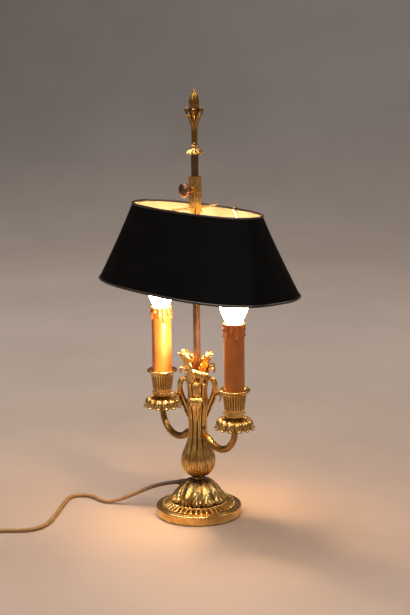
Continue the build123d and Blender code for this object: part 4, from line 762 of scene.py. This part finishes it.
# ---------------- cord
# Points of the cord in millimetres, from the dome to the switch
LEAD = (
    (-31.3, -5.5, 32.2), (-43.0, -7.6, 29.7),
    (-60.0, -24.0, 24.5), (-80.0, -43.0, 11.5), (-96.0, -58.5, 2.6),
    (-110.0, -66.0, 2.5), (-126.0, -63.0, 2.5), (-143.0, -67.5, 2.5), (-149.5, -84.5, 2.5),
    (-137.0, -102.0, 2.5), (-120.0, -121.0, 2.5), (-102.0, -142.0, 2.5), (-87.0, -161.0, 2.5),
    (-79.5, -178.0, 2.5), (-83.0, -195.0, 2.5), (-95.0, -208.0, 2.5), (-107.0, -222.0, 2.5),
)
SWITCH_ENDS = ((-114.1, -232.9, 5.0), (-154.4, -295.0, 5.0))
TAIL = (
    (-166.0, -312.5, 2.5), (-189.0, -310.5, 2.5), (-207.0, -294.0, 2.5),
    (-216.0, -273.0, 2.5), (-221.4, -255.0, 2.5),
)
COIL_CENTRE = (-188.5, -243.0)
# First and last radius, height and number of the turns that lie on the floor and of those on top
COIL_LOW_TURNS = (35.0, 20.0, 2.5, 4)
COIL_HIGH_TURNS = (22.5, 32.5, 6.83, 3)
COIL_START = radians(200)
COIL_STEPS = 16
PLUG_LEAD = ((-222.7, -225.0, 6.85), (-227.5, -209.0, 6.85), (-236.0, -193.0, 6.85))


def coil_points():
    """Points of the coil's turns, clockwise: inwards on the floor, then outwards on top."""
    points = []
    turn = COIL_START
    for start, end, height, turns in (COIL_LOW_TURNS, COIL_HIGH_TURNS):
        steps = turns * COIL_STEPS
        for k in range(1, steps):
            radius = (start + (end - start) * k / steps) / cos(pi / COIL_STEPS)
            angle = turn - tau * k / COIL_STEPS
            points.append(
                (COIL_CENTRE[0] + radius * cos(angle), COIL_CENTRE[1] + radius * sin(angle), height)
            )
        turn -= tau * turns
    return points


class LAMP_OT_cord(bpy.types.Operator):
    """Lays the cord from the dome through the switch and the coil to the plug"""

    bl_idname = "lamp.cord"
    bl_label = "Cord"

    def execute(self, context):
        size = context.scene.lamp_cord
        route = [*LEAD, *SWITCH_ENDS, *TAIL, *coil_points(), *PLUG_LEAD]
        curve = bpy.data.curves.new("cord", "CURVE")
        curve.dimensions = "3D"
        spline = curve.splines.new("NURBS")
        spline.points.add(len(route) - 1)
        for point, place in zip(spline.points, route):
            point.co = (*(value * MM for value in place), 1.0)
        spline.order_u = 3
        spline.use_endpoint_u = True
        spline.resolution_u = 6
        curve.bevel_depth = size.diameter / 2
        curve.bevel_resolution = 5
        curve.use_fill_caps = True
        cord = bpy.data.objects.new("cord", curve)
        context.collection.objects.link(cord)
        curve.materials.append(finish_of("cord_plastic"))
        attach(cord, "stand")
        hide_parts("cord_lead", "cord_tail", "cord_coil", "plug_lead")
        return {"FINISHED"}


# ---------------- shapes that several pieces share
def eased(value, low, high):
    """0 below low, 1 above high and a smooth step between."""
    t = min(max((value - low) / (high - low), 0.0), 1.0)
    return t * t * (3 - 2 * t)


def along(stations, t):
    """A smooth curve through evenly numbered stations, each a tuple of numbers, for t from 0 to 1."""
    last = len(stations) - 1
    spot = min(max(t, 0.0), 1.0) * last
    k = min(int(spot), last - 1)
    f = spot - k
    before, here, after, beyond = (stations[min(max(k + step, 0), last)] for step in (-1, 0, 1, 2))
    return tuple(
        0.5 * (2 * b + (c - a) * f + (2 * a - 5 * b + 4 * c - d) * f * f + (3 * b - a - 3 * c + d) * f**3)
        for a, b, c, d in zip(before, here, after, beyond)
    )


def turned(profile, t, swell=0.0, angle=0.0):
    """A point of a turned form: a profile of radius and height in millimetres, swelled outwards."""
    radius, height = along(profile, t)[:2]
    return round_point(radius + swell, angle, height)


def round_point(radius, angle, height):
    """A point round the upright axis, given in millimetres."""
    return Vector((radius * cos(angle), radius * sin(angle), height)) * MM


def course(path, t, step):
    """The unit vectors along a path in the XZ plane and outwards from it."""
    ahead = along(path, min(t + step, 1.0))
    behind = along(path, max(t - step, 0.0))
    run = Vector((ahead[0] - behind[0], 0, ahead[1] - behind[1])).normalized()
    return run, Vector((run.z, 0, -run.x))


def fold(angle, count, sharpness=1.0):
    """1 on the crown of each of count folds and 0 in the creases between them."""
    return abs(cos(angle * count / 2)) ** sharpness


def leaf(
    name, stations, lobes=3, notch=0.3, cup=0.25, vein=0.6, rollback=1.7, fringe=0.0, edge_shade=0.0,
    thickness=1.0, across=24, length=36,
):
    """A chased leaf: each station of its midrib, root to tip, gives reach, height and half width.

    The leaf lies across the XZ plane and its sizes are in millimetres. Its edge is cut into lobes
    that point to the tip, its sides are cupped, and a groove runs up its midrib and out into each
    lobe. A negative cup bends the sides the other way, rollback turns the cup over towards the tip,
    and fringe cuts the tip into five fingers."""
    vein_width = 0.13
    edge_reach = 1.6

    def place(u, v):
        side = 2 * u - 1
        reach, height, half = along(stations, v)
        run, out = course(stations, v, 0.01)
        bay = 0.5 - 0.5 * cos(tau * (lobes * v - 0.4 * side * side))
        half *= 1 - notch * bay * side * side
        lift = -cup * half * side * side * (1 - rollback * v)
        lift -= vein * exp(-((side / vein_width) ** 2)) * (1 - 0.7 * v)
        wave = sin(tau * (lobes * v - 0.55 * abs(side)))
        lift += 0.6 * vein * wave * abs(side) ** 1.5 * (1 - 0.5 * v)
        fingers = (1 - abs(cos(2.5 * pi * side))) * eased(v, 0.6, 1.0)
        onward = edge_reach * side * side - fringe * fingers
        spot = Vector((reach, side * half, height)) + out * lift + run * onward
        # Painted shade along the leaf's edges, by the share given for the edge
        return with_painted_shade(spot * MM, edge_shade * eased(abs(side), 0.55, 0.95))

    piece = close_seams(shaped_grid(name, across, length, place))
    apply_modifier(piece, "SOLIDIFY", thickness=thickness * MM, offset=0.0)
    apply_modifier(piece, "SUBSURF", levels=1, render_levels=1)
    return smooth(piece)


def strap(name, path, section, around=16, length=64):
    """A closed bar swept along a path in the XZ plane.

    Each station of the path gives reach, height, width and thickness in millimetres. section(turn)
    gives the place across and the place outwards on the bar's outline, both from -1 to 1."""

    def place(u, v):
        reach, height, width, thick = along(path, v)
        _, out = course(path, v, 0.008)
        across, outwards = section(tau * u)
        return (Vector((reach, across * width / 2, height)) + out * outwards * thick / 2) * MM

    return skin(name, around, length, place, radians(60), filled=True)


def ribbed_section(turn):
    """A flat oval with three raised ribs along its outer face."""
    ribs = 0.28 * fold(turn - pi / 2, 6, 0.8) if sin(turn) > 0 else 0.0
    return cos(turn), sin(turn) * (0.72 + ribs)


def round_section(turn):
    return cos(turn), sin(turn)


def beads(name, count, ring, height, radius):
    """A ring of small round beads on one level, in millimetres."""
    spot = Vector((ring, 0, height)) * MM
    size = {"segments": 12, "ring_count": 8, "radius": radius * MM}
    bead = added(name, bpy.ops.mesh.primitive_uv_sphere_add, location=spot, **size)
    bpy.ops.object.transform_apply(location=True, rotation=True, scale=True)
    return smooth(ring_of(bead, count))


# ---------------- foot and baluster
class LAMP_OT_foot(bpy.types.Operator):
    """Models the foot's moulded band and its ring of flutes"""

    bl_idname = "lamp.foot"
    bl_label = "Foot"

    PROFILE = (
        (40.0, 0.5), (50.2, 0.5), (51.3, 0.8), (51.7, 1.8), (51.7, 4.4), (51.7, 7.2), (51.7, 9.8),
        (51.4, 10.9), (50.4, 11.5), (49.2, 11.6), (48.4, 10.7), (47.9, 10.8), (47.4, 11.8), (46.4, 12.1),
        (45.0, 12.4), (43.4, 12.7), (41.6, 13.2), (39.8, 13.9), (38.0, 14.7), (36.0, 15.5), (34.2, 16.2),
        (32.4, 16.6), (30.0, 16.6), (22.0, 16.6),
    )
    FLUTES = 40
    FLUTE_RING = (32.6, 43.8)
    FLUTE_SHARE = 0.7
    FLUTE_DEPTH = 3.0

    def place(self, u, v):
        angle = tau * u
        radius, height = along(self.PROFILE, v)
        spot = turned(self.PROFILE, v, 0.0, angle)
        inner, outer = self.FLUTE_RING
        run = (radius - inner) / (outer - inner)
        phase = abs((angle * self.FLUTES / tau) % 1 - 0.5) * 2 / self.FLUTE_SHARE
        dark = 0.0
        if height > 12 and 0 < run < 1:
            hollow = sqrt(max(0.0, 1 - phase * phase)) * eased(run, 0.0, 0.2) * sqrt(1 - run**4)
            tongue = eased(phase, 0.9, 1.1) * eased(run, 0.0, 0.2) * (1 - eased(run, 0.8, 1.0))
            spot.z += (0.6 * tongue - self.FLUTE_DEPTH * hollow) * MM
            # Painted shade in the flute hollows
            dark = hollow * (1 - eased(run, 0.6, 0.9))
        return with_painted_shade(spot, dark)

    def execute(self, context):
        gild(skin("foot_form", 560, 110, self.place, radians(50)), "fluted_foot", "foot")
        return {"FINISHED"}


class LAMP_OT_leaf_dome(bpy.types.Operator):
    """Models the skirt of acanthus leaves on the foot"""

    bl_idname = "lamp.leaf_dome"
    bl_label = "Leaf dome"

    PROFILE = (
        (24.0, 16.7), (28.2, 16.9), (30.8, 17.8), (31.6, 19.2), (30.6, 21.4), (29.0, 24.2), (27.4, 27.4),
        (25.3, 30.6), (23.1, 33.6), (20.6, 36.4), (17.8, 39.0), (14.6, 41.3), (11.0, 42.8), (6.0, 43.0),
    )
    LEAVES = 12
    HEM = 0.23

    def place(self, u, v):
        angle = tau * u
        turn = angle * self.LEAVES / tau
        number = int(turn) % self.LEAVES
        phase = turn % 1 - 0.5
        side = 2 * abs(phase)
        height = along(self.PROFILE, v)[1]
        low = 1 - eased(height, 18.0, 42.0)
        wall = eased(v, 0.08, 0.2) * (1 - eased(v, 0.86, 0.97))
        hem = exp(-(((v - self.HEM) / 0.085) ** 2))
        habit = noise.noise(Vector((number * 1.73, 0.4, 0.0)))
        swell = (1.3 - 3.6 * side**1.5) * (0.35 + 0.65 * low)
        swell += 0.9 * exp(-((side / 0.13) ** 2)) * (0.6 + 0.4 * low)
        swell += 1.5 * sin(tau * (1.6 * side + 4.2 * v)) * side * (1 - side * 0.4) * low
        swell += (1.1 * cos(4 * pi * side) + 1.6 * habit) * hem
        swell += 0.4 * noise.noise(Vector((cos(angle) * 5, sin(angle) * 5, v * 8)))
        spot = turned(self.PROFILE, v, swell * wall, angle)
        curl = 1.3 * cos(3 * pi * side) + 2.0 * habit + 0.5
        spot.z += curl * hem * eased(v, 0.1, 0.2) * MM
        # Painted shade: darker high on the dome under the baluster, in the valleys between the leaves and
        # under the hem
        dark = 0.85 * eased(height, 33.0, 39.0) + 0.8 * eased(side, 0.6, 0.95) * wall
        return with_painted_shade(spot, dark + 0.7 * (1 - eased(v, 0.1, 0.16)))

    def execute(self, context):
        gild(skin("leaf_dome_form", 560, 90, self.place), "acanthus_dome", "leaf_dome")
        return {"FINISHED"}


class LAMP_OT_baluster(bpy.types.Operator):
    """Models the baluster's ribs, hanging lancet leaves and gadrooned belly"""

    bl_idname = "lamp.baluster"
    bl_label = "Baluster"

    PROFILE = (
        (5.6, 45.6), (6.4, 46.2), (10.0, 48.0), (14.0, 50.8), (17.2, 54.6), (19.4, 59.4), (20.3, 65.0),
        (19.9, 71.0), (18.0, 77.0), (15.5, 83.0), (13.2, 89.2), (11.6, 96.0), (10.8, 103.0), (10.5, 110.0),
        (10.7, 117.0), (11.2, 124.0), (12.2, 131.0), (12.6, 137.0), (11.8, 143.0), (10.9, 149.0),
        (11.2, 155.0), (12.4, 163.4),
    )
    LEAVES = 12
    GADROONS = 36
    LEAF_POINT = 59.0
    LEAF_SHOULDER = 84.0

    def place(self, u, v):
        angle = tau * u
        height = along(self.PROFILE, v)[1]
        phase = (angle * self.LEAVES / tau + 0.5) % 1 - 0.5
        side = 2 * abs(phase)
        rise = min(max((height - self.LEAF_POINT) / (self.LEAF_SHOULDER - self.LEAF_POINT), 0.0), 1.0)
        broad = rise**0.62
        on_leaf = eased(broad - side, -0.05, 0.07) if rise < 1 else 1.0
        across = min(side / max(broad, 0.05), 1.0)
        blade = 0.9 - 1.0 * across**2 - 0.55 * exp(-((side / 0.1) ** 2)) * eased(rise, 0.1, 0.35)
        blade -= 1.5 * eased(side, 0.66, 1.0) * eased(rise, 0.75, 1.0)
        ground = 0.9 * (fold(angle, self.GADROONS, 0.7) - 0.9) * eased(height, 47.0, 53.0) - 0.2
        swell = on_leaf * blade + (1 - on_leaf) * ground
        swell += 0.2 * noise.noise(Vector((cos(angle) * 6, sin(angle) * 6, height * 0.1)))
        # Painted shade on the ground between the lancet leaves, most in the gadroons' creases, and along the
        # leaves' edges near their shoulders
        dark = 0.55 * (1 - on_leaf) * (1.2 - fold(angle, self.GADROONS, 0.7))
        dark += on_leaf * 0.75 * eased(side, 0.7, 0.98) * eased(rise, 0.5, 0.9)
        return with_painted_shade(turned(self.PROFILE, v, swell, angle), dark)

    def execute(self, context):
        gild(skin("baluster_form", 432, 180, self.place, filled=True), "ribbed_baluster", "baluster")
        return {"FINISHED"}


class LAMP_OT_handles(bpy.types.Operator):
    """Models the four scrolled handles with their leaves"""

    bl_idname = "lamp.handles"
    bl_label = "Scroll handles"

    BAR = (
        (8.6, 118.0, 6.0, 5.0), (10.0, 124.0, 6.6, 6.0), (11.6, 130.0, 7.2, 6.6), (13.6, 136.0, 7.6, 7.2),
        (16.2, 142.0, 8.0, 7.6), (18.6, 148.0, 8.2, 7.8), (20.2, 154.0, 8.2, 7.8), (20.4, 160.0, 8.0, 7.8),
        (18.9, 165.0, 7.6, 7.6), (15.8, 167.2, 7.2, 7.0), (12.4, 166.6, 6.8, 6.2), (9.6, 163.6, 6.4, 5.8),
    )
    SHEATH = (
        (11.6, 120.0, 3.0), (14.6, 127.0, 4.2), (17.2, 133.4, 5.2), (19.8, 139.4, 6.4), (21.6, 144.4, 7.8),
        (23.2, 148.0, 8.6), (25.0, 149.8, 8.8), (26.8, 149.0, 8.8), (27.8, 146.2, 8.2), (27.6, 143.2, 7.2),
        (26.6, 140.6, 5.6),
    )

    def execute(self, context):
        bar = strap("handle_bar", self.BAR, ribbed_section, around=36, length=90)
        sheath = leaf(
            "handle_leaf", self.SHEATH, lobes=6, cup=0.2, vein=0.8, fringe=5.0, thickness=1.6, across=40
        )
        handle = joined([bar, sheath])
        for number in range(1, 5):
            turn = Matrix.Rotation((number - 0.5) * pi / 2, 4, "Z")
            gild(copied(handle, turn), f"handle_{number}", f"scroll_handle_{number}")
        bpy.data.objects.remove(handle)
        return {"FINISHED"}


class LAMP_OT_crown(bpy.types.Operator):
    """Models the crown of curling leaves round the rod"""

    bl_idname = "lamp.crown"
    bl_label = "Leaf crown"

    TALL = (
        (10.4, 0.0, 5.2), (11.8, 7.0, 6.8), (12.4, 14.0, 7.8), (12.0, 20.4, 8.2), (12.2, 26.0, 8.2),
        (13.4, 31.0, 7.8), (15.8, 35.2, 6.6), (18.8, 38.0, 4.6), (21.6, 39.2, 1.2),
    )
    LOW = (
        (11.2, 0.0, 5.4), (12.6, 5.0, 8.0), (13.6, 9.6, 10.0), (14.6, 13.8, 11.0), (16.2, 17.2, 11.0),
        (18.6, 18.8, 10.4), (20.8, 17.8, 9.4), (21.8, 15.0, 7.6), (21.8, 12.6, 5.4),
    )
    # Azimuth in degrees, shares of the full rise and reach, and sideways lean in degrees of each leaf
    TALL_LEAVES = ((0, 0.96, 0.84, -6), (90, 0.9, 0.95, 4), (180, 0.96, 1.0, -5), (270, 1.0, 1.0, 10))
    LOW_LEAVES = ((45, 1.15, 0.96, 6), (135, 1.0, 1.0, -8), (225, 1.0, 0.95, 10), (315, 1.0, 1.0, -14))
    ROOT = 162.5

    def bent(self, name, stations, azimuth, upright, spread, painted_light, **form):
        """One leaf of the crown, bent to shares of its rise and reach, leant and turned to its azimuth."""
        path = tuple((spread * reach, self.ROOT + upright * rise, half) for reach, rise, half in stations)
        piece = leaf(name, path, **form)
        root = Matrix.Translation((0, 0, self.ROOT * MM))
        leant = root @ Matrix.Rotation(radians(painted_light), 4, "X") @ root.inverted()
        piece.data.transform(Matrix.Rotation(radians(azimuth), 4, "Z") @ leant)
        return piece

    def execute(self, context):
        leaves = [
            self.bent("tall_leaf", self.TALL, *bend, lobes=4, notch=0.34, cup=0.4, vein=1.1, thickness=1.7)
            for bend in self.TALL_LEAVES
        ]
        leaves += [
            self.bent(
                "low_leaf", self.LOW, *bend, lobes=5, notch=0.32, cup=0.2, vein=1.1, fringe=4.0,
                thickness=1.7, across=40,
            )
            for bend in self.LOW_LEAVES
        ]
        gild(joined(leaves), "crown_leaves", "leaf_crown")
        return {"FINISHED"}


# ---------------- candle pieces
class LAMP_OT_drip_pans(bpy.types.Operator):
    """Models the drip pans, each a ring of petals that roll over and down"""

    bl_idname = "lamp.drip_pans"
    bl_label = "Drip pans"

    HUB = (
        (4.2, 0.1), (6.6, 0.1), (7.4, 2.6), (9.0, 5.6), (12.4, 7.6), (15.0, 8.4), (15.6, 9.2), (14.4, 9.8),
        (11.6, 9.0), (9.0, 8.1), (4.2, 8.0),
    )
    PETAL = (
        (8.0, 7.0, 2.0), (10.8, 9.4, 2.8), (13.8, 11.0, 3.6), (17.0, 11.0, 4.4), (19.8, 9.4, 5.0),
        (21.4, 6.6, 5.2), (21.8, 3.8, 4.6), (22.2, 1.8, 2.8), (23.2, 1.0, 0.5),
    )
    PETALS = 13

    def execute(self, context):
        hub = skin("pan_hub", 96, 40, lambda u, v: turned(self.HUB, v, 0.0, tau * u))
        # Each petal gets painted shade along its edges, where the petals meet
        petal = leaf(
            "petal", self.PETAL, lobes=1, notch=0.0, cup=-0.5, vein=-0.2, rollback=0.0, edge_shade=1.0,
            thickness=1.2, across=14, length=28,
        )
        pan = joined([hub, ring_of(petal, self.PETALS)])
        on_both_sides(pan, "petal_pan", PAN_FOOT, "gilt_brass", "gilt_bronze", "drip_pan")
        return {"FINISHED"}


class LAMP_OT_candle_cups(bpy.types.Operator):
    """Models the fluted candle cups with their beaded rims"""

    bl_idname = "lamp.candle_cups"
    bl_label = "Candle cups"

    PROFILE = (
        (4.2, 0.0), (8.0, 0.0), (7.2, 2.2), (8.4, 4.6), (11.2, 6.4), (11.4, 8.2), (11.0, 12.0),
        (11.8, 15.0), (12.2, 20.0), (12.9, 26.0), (13.6, 31.0), (15.2, 34.2), (18.2, 36.4),
        (18.6, 37.6), (17.8, 38.7), (15.6, 38.2), (12.5, 36.0), (12.3, 30.0), (12.2, 24.0),
    )
    FLUTES = 26
    ROPE_TURNS = 44
    # Name, number, radius and height of each ring of beads and the beads' own radius
    BEAD_RINGS = (("foot_beads", 26, 11.9, 10.2, 1.35), ("collar_beads", 30, 13.9, 32.6, 0.6))

    def place(self, u, v):
        angle = tau * u
        height = along(self.PROFILE, v)[1]
        outside = v < 0.72
        reach = eased(height, 13.5, 16.0) * (1 - eased(height, 31.5, 34.5)) if outside else 0.0
        flute = fold(angle, self.FLUTES, 0.55)
        rope = eased(height, 34.4, 35.6) * (1 - eased(height, 37.6, 38.2)) if outside else 0.0
        strand = fold(angle + 0.1 * (height - 36.0), self.ROPE_TURNS, 0.8)
        swell = 1.2 * (flute - 0.8) * reach + 0.7 * (strand - 0.7) * rope
        # Painted shade in the flutes' creases, between the rope's strands and low on the cup's foot
        dark = 1.3 * reach * (1 - fold(angle, self.FLUTES)) + 0.8 * rope * (1 - strand)
        return with_painted_shade(turned(self.PROFILE, v, swell, angle), dark + eased(height, 4.0, 1.5))

    def execute(self, context):
        cup = skin("cup_form", 352, 100, self.place)
        cup = joined([cup, *(beads(*ring) for ring in self.BEAD_RINGS)])
        on_both_sides(cup, "fluted_cup", CUP_FOOT, "gilt_brass", "gilt_bronze", "candle_cup")
        return {"FINISHED"}


class LAMP_OT_candles(bpy.types.Operator):
    """Models the candle sleeves and the wax that runs down them"""

    bl_idname = "lamp.candles"
    bl_label = "Candle sleeves"

    RADIUS = 12.0
    BORE = 10.8
    LIP = 0.7
    LIP_DROP = 14.0  # how far the wall turns in and down
    OUTSIDE = 0.9  # share of the form's run that is its outer face
    LEFT_TURN = 2.1
    # Azimuth in degrees, length and half width in millimetres of each run of wax
    RUNS = (
        (10, 13.5, 1.7), (38, 7.0, 1.4), (66, 16.0, 1.8), (98, 9.5, 1.5), (131, 14.0, 1.7), (158, 6.5, 1.4),
        (187, 12.0, 1.7), (216, 17.0, 1.8), (246, 8.0, 1.5), (275, 14.5, 1.7), (305, 10.0, 1.6),
        (335, 17.5, 1.8),
    )

    def place(self, u, v):
        angle = tau * u
        total = (SLEEVE_TOP - SLEEVE_FOOT) / MM
        if v > self.OUTSIDE:
            inner = (v - self.OUTSIDE) / (1 - self.OUTSIDE)
            lip = self.RADIUS + self.LIP
            radius = lip - (lip - self.BORE) * eased(inner, 0.0, 0.5)
            return round_point(radius, angle, total - self.LIP_DROP * eased(inner, 0.4, 1.0))
        depth = total * (1 - v / self.OUTSIDE) ** 1.5
        swell = 0.9 * (1 - eased(depth, 1.2, 4.2 + 1.2 * sin(5 * angle)))
        for azimuth, length, half in self.RUNS:
            off = (angle - radians(azimuth) + pi) % tau - pi
            across = abs(off) * self.RADIUS / half
            if across > 2.2 or depth > length + 3:
                continue
            body = max(0.0, 1 - across * across / 2.2) * (1 - eased(depth, length - 0.6, length + 0.8))
            drop = sqrt(max(0.0, 1 - (across / 1.15) ** 2 - ((depth - length + 1.8) / 2.6) ** 2))
            swell = max(swell, 1.25 * body, 2.1 * drop)
        return round_point(self.RADIUS + swell, angle, total - depth)

    def execute(self, context):
        sleeve = close_seams(shaped_grid("sleeve_form", 300, 130, self.place))
        apply_modifier(sleeve, "SMOOTH", factor=0.5, iterations=2)
        on_both_sides(
            smooth(sleeve), "wax_sleeve", SLEEVE_FOOT, "candle_wax", "wax", "candle_sleeve", self.LEFT_TURN
        )
        return {"FINISHED"}


# ---------------- finial and thumb screw
class LAMP_OT_finial(bpy.types.Operator):
    """Models the petal collar and the finial's stem, leaves, scrolls and bud"""

    bl_idname = "lamp.finial"
    bl_label = "Finial"

    STEM = (
        (3.4, 0.0), (3.9, 1.0), (3.4, 3.0), (3.2, 8.0), (3.3, 13.0), (3.6, 18.0), (4.2, 22.0),
        (5.2, 27.0), (5.9, 32.0), (5.4, 36.0), (4.9, 40.0), (5.3, 44.0), (5.8, 47.6), (5.6, 51.2),
        (4.8, 54.8), (3.6, 58.2), (2.3, 61.0), (1.1, 63.0), (0.01, 64.0),
    )
    RIBS = 6
    CALYX = (
        (3.6, 19.0, 1.6), (4.8, 24.0, 2.8), (6.4, 29.0, 3.6), (8.2, 33.0, 3.2), (10.0, 34.6, 1.6),
        (10.8, 33.8, 0.6),
    )
    SCROLL_ROOT = ((3.4, 25.0, 4.0, 2.2), (5.8, 31.0, 4.8, 2.4), (8.6, 35.4, 4.6, 2.5))
    SCROLL_REACH = 7.6
    SCROLL_LEVEL = 39.6
    SCROLL_RADIUS = 2.7
    SCROLL_TURNS = 1.3
    SCROLL_START = -0.9
    STATIONS = 16
    PETALS = 10
    COLLAR = (
        (4.4, 0.6), (6.4, 0.2), (10.4, 0.0), (11.0, 1.2), (9.2, 2.8), (6.6, 4.2), (5.0, 6.0), (4.6, 8.0),
        (5.0, 9.8), (3.6, 10.6),
    )

    def stem_place(self, u, v):
        angle = tau * u
        height = along(self.STEM, v)[1]
        grooved = eased(height, 2.0, 5.0) * (1 - eased(height, 60.0, 63.0))
        return turned(self.STEM, v, 0.7 * (fold(angle, self.RIBS, 0.8) - 0.7) * grooved, angle)

    def collar_place(self, u, v):
        angle = tau * u
        skirt = exp(-(((v - 0.3) / 0.2) ** 2))
        crest = fold(angle, self.PETALS, 0.7)
        spot = turned(self.COLLAR, v, 2.0 * (crest - 0.8) * skirt, angle)
        spot.z += 0.8 * (crest - 0.5) * eased(v, 0.3, 0.5) * (1 - eased(v, 0.55, 0.75)) * MM
        return spot

    def scroll(self):
        """One small volute: a bar that curls round in its own plane."""
        stations = []
        for k in range(self.STATIONS):
            t = k / (self.STATIONS - 1)
            angle = self.SCROLL_START + tau * self.SCROLL_TURNS * t
            radius = self.SCROLL_RADIUS * (1 - 0.78 * t)
            reach = self.SCROLL_REACH + radius * cos(angle)
            level = self.SCROLL_LEVEL + radius * sin(angle)
            stations.append((reach, level, 4.2 + 0.4 * t, 2.4 - 0.3 * t))
        return strap("scroll", (*self.SCROLL_ROOT, *stations), round_section, around=12, length=90)

    def execute(self, context):
        stem = skin("stem_form", 96, 110, self.stem_place)
        calyx = ring_of(leaf("calyx_leaf", self.CALYX, lobes=2, notch=0.2, cup=0.4, length=24), 4)
        finial = joined([stem, calyx, ring_of(self.scroll(), 4, start=pi / 4)])
        finial.data.transform(Matrix.Translation((0, 0, FINIAL_FOOT)))
        finish_piece(finial, "flame_finial", "stand", "gilt_brass", "worn_gilt", "finial")
        collar = skin("collar_form", 160, 48, self.collar_place)
        collar.data.transform(Matrix.Translation((0, 0, COLLAR_FOOT)))
        gild(collar, "petal_collar", "finial_collar")
        return {"FINISHED"}


class LAMP_OT_thumb_screw(bpy.types.Operator):
    """Models the round knob with its boss and shank"""

    bl_idname = "lamp.thumb_screw"
    bl_label = "Thumb screw"

    PROFILE = (
        (0.01, 0.0), (1.9, 0.0), (2.0, 2.0), (2.0, 8.6), (2.8, 9.8), (4.8, 10.6), (6.8, 11.6), (8.0, 13.0),
        (8.6, 14.8), (8.4, 16.6), (7.4, 18.2), (5.8, 19.5), (3.6, 20.3), (1.6, 20.7), (0.01, 20.8),
    )
    LENGTH = 20.8
    RIM = 14.8
    FACETS = 10

    def place(self, u, v):
        angle = tau * u
        radius, run = along(self.PROFILE, v)
        rim = exp(-(((run - self.RIM) / 2.6) ** 2)) if radius > 6 else 0.0
        radius += 0.8 * (fold(angle, self.FACETS, 0.8) - 0.7) * rim
        return Vector((radius * cos(angle), -run, radius * sin(angle))) * MM

    def execute(self, context):
        low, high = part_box("clamp_screw")
        knob = close_seams(shaped_grid("knob_form", 120, 80, self.place))
        scale = (high.y - low.y) / (self.LENGTH * MM)
        knob.data.transform(Matrix.Diagonal((1, scale, 1, 1)))
        knob.data.transform(Matrix.Translation((0, high.y, (low.z + high.z) / 2)))
        smooth(close_seams(knob), radians(50))
        finish_piece(knob, "knob_and_shank", "clamp_screw", "dark_bronze", "dark_bronze", "clamp_screw")
        return {"FINISHED"}


# ---------------- panel and running
OPERATORS = (
    LAMP_OT_camera,
    LAMP_OT_cord,
    LAMP_OT_stage,
    LAMP_OT_frame_finish,
    LAMP_OT_foot,
    LAMP_OT_leaf_dome,
    LAMP_OT_baluster,
    LAMP_OT_handles,
    LAMP_OT_crown,
    LAMP_OT_drip_pans,
    LAMP_OT_candle_cups,
    LAMP_OT_candles,
    LAMP_OT_finial,
    LAMP_OT_thumb_screw,
)


class LAMP_PT_pieces(bpy.types.Panel):
    """Lists the lamp's pieces and the stage"""

    bl_idname = "LAMP_PT_pieces"
    bl_label = "Bouillotte Lamp"
    bl_space_type = "VIEW_3D"
    bl_region_type = "UI"
    bl_category = "Lamp"

    def draw(self, context):
        for operator in OPERATORS:
            self.layout.operator(operator.bl_idname)


GROUPS = (
    ("lamp_view", LampView),
    ("lamp_stage", LampStage),
    ("lamp_finish", LampFinish),
    ("lamp_cord", LampCord),
)


def register():
    for _, group in GROUPS:
        bpy.utils.register_class(group)
    for operator in OPERATORS:
        bpy.utils.register_class(operator)
    bpy.utils.register_class(LAMP_PT_pieces)
    for name, group in GROUPS:
        setattr(bpy.types.Scene, name, bpy.props.PointerProperty(type=group))


def unregister():
    for name, _ in reversed(GROUPS):
        delattr(bpy.types.Scene, name)
    bpy.utils.unregister_class(LAMP_PT_pieces)
    for operator in reversed(OPERATORS):
        bpy.utils.unregister_class(operator)
    for _, group in reversed(GROUPS):
        bpy.utils.unregister_class(group)


def main():
    register()
    for operator in OPERATORS:
        category, name = operator.bl_idname.split(".")
        getattr(getattr(bpy.ops, category), name)()
    bpy.context.scene.view_settings.view_transform = "Standard"


if __name__ == "__main__":
    main()
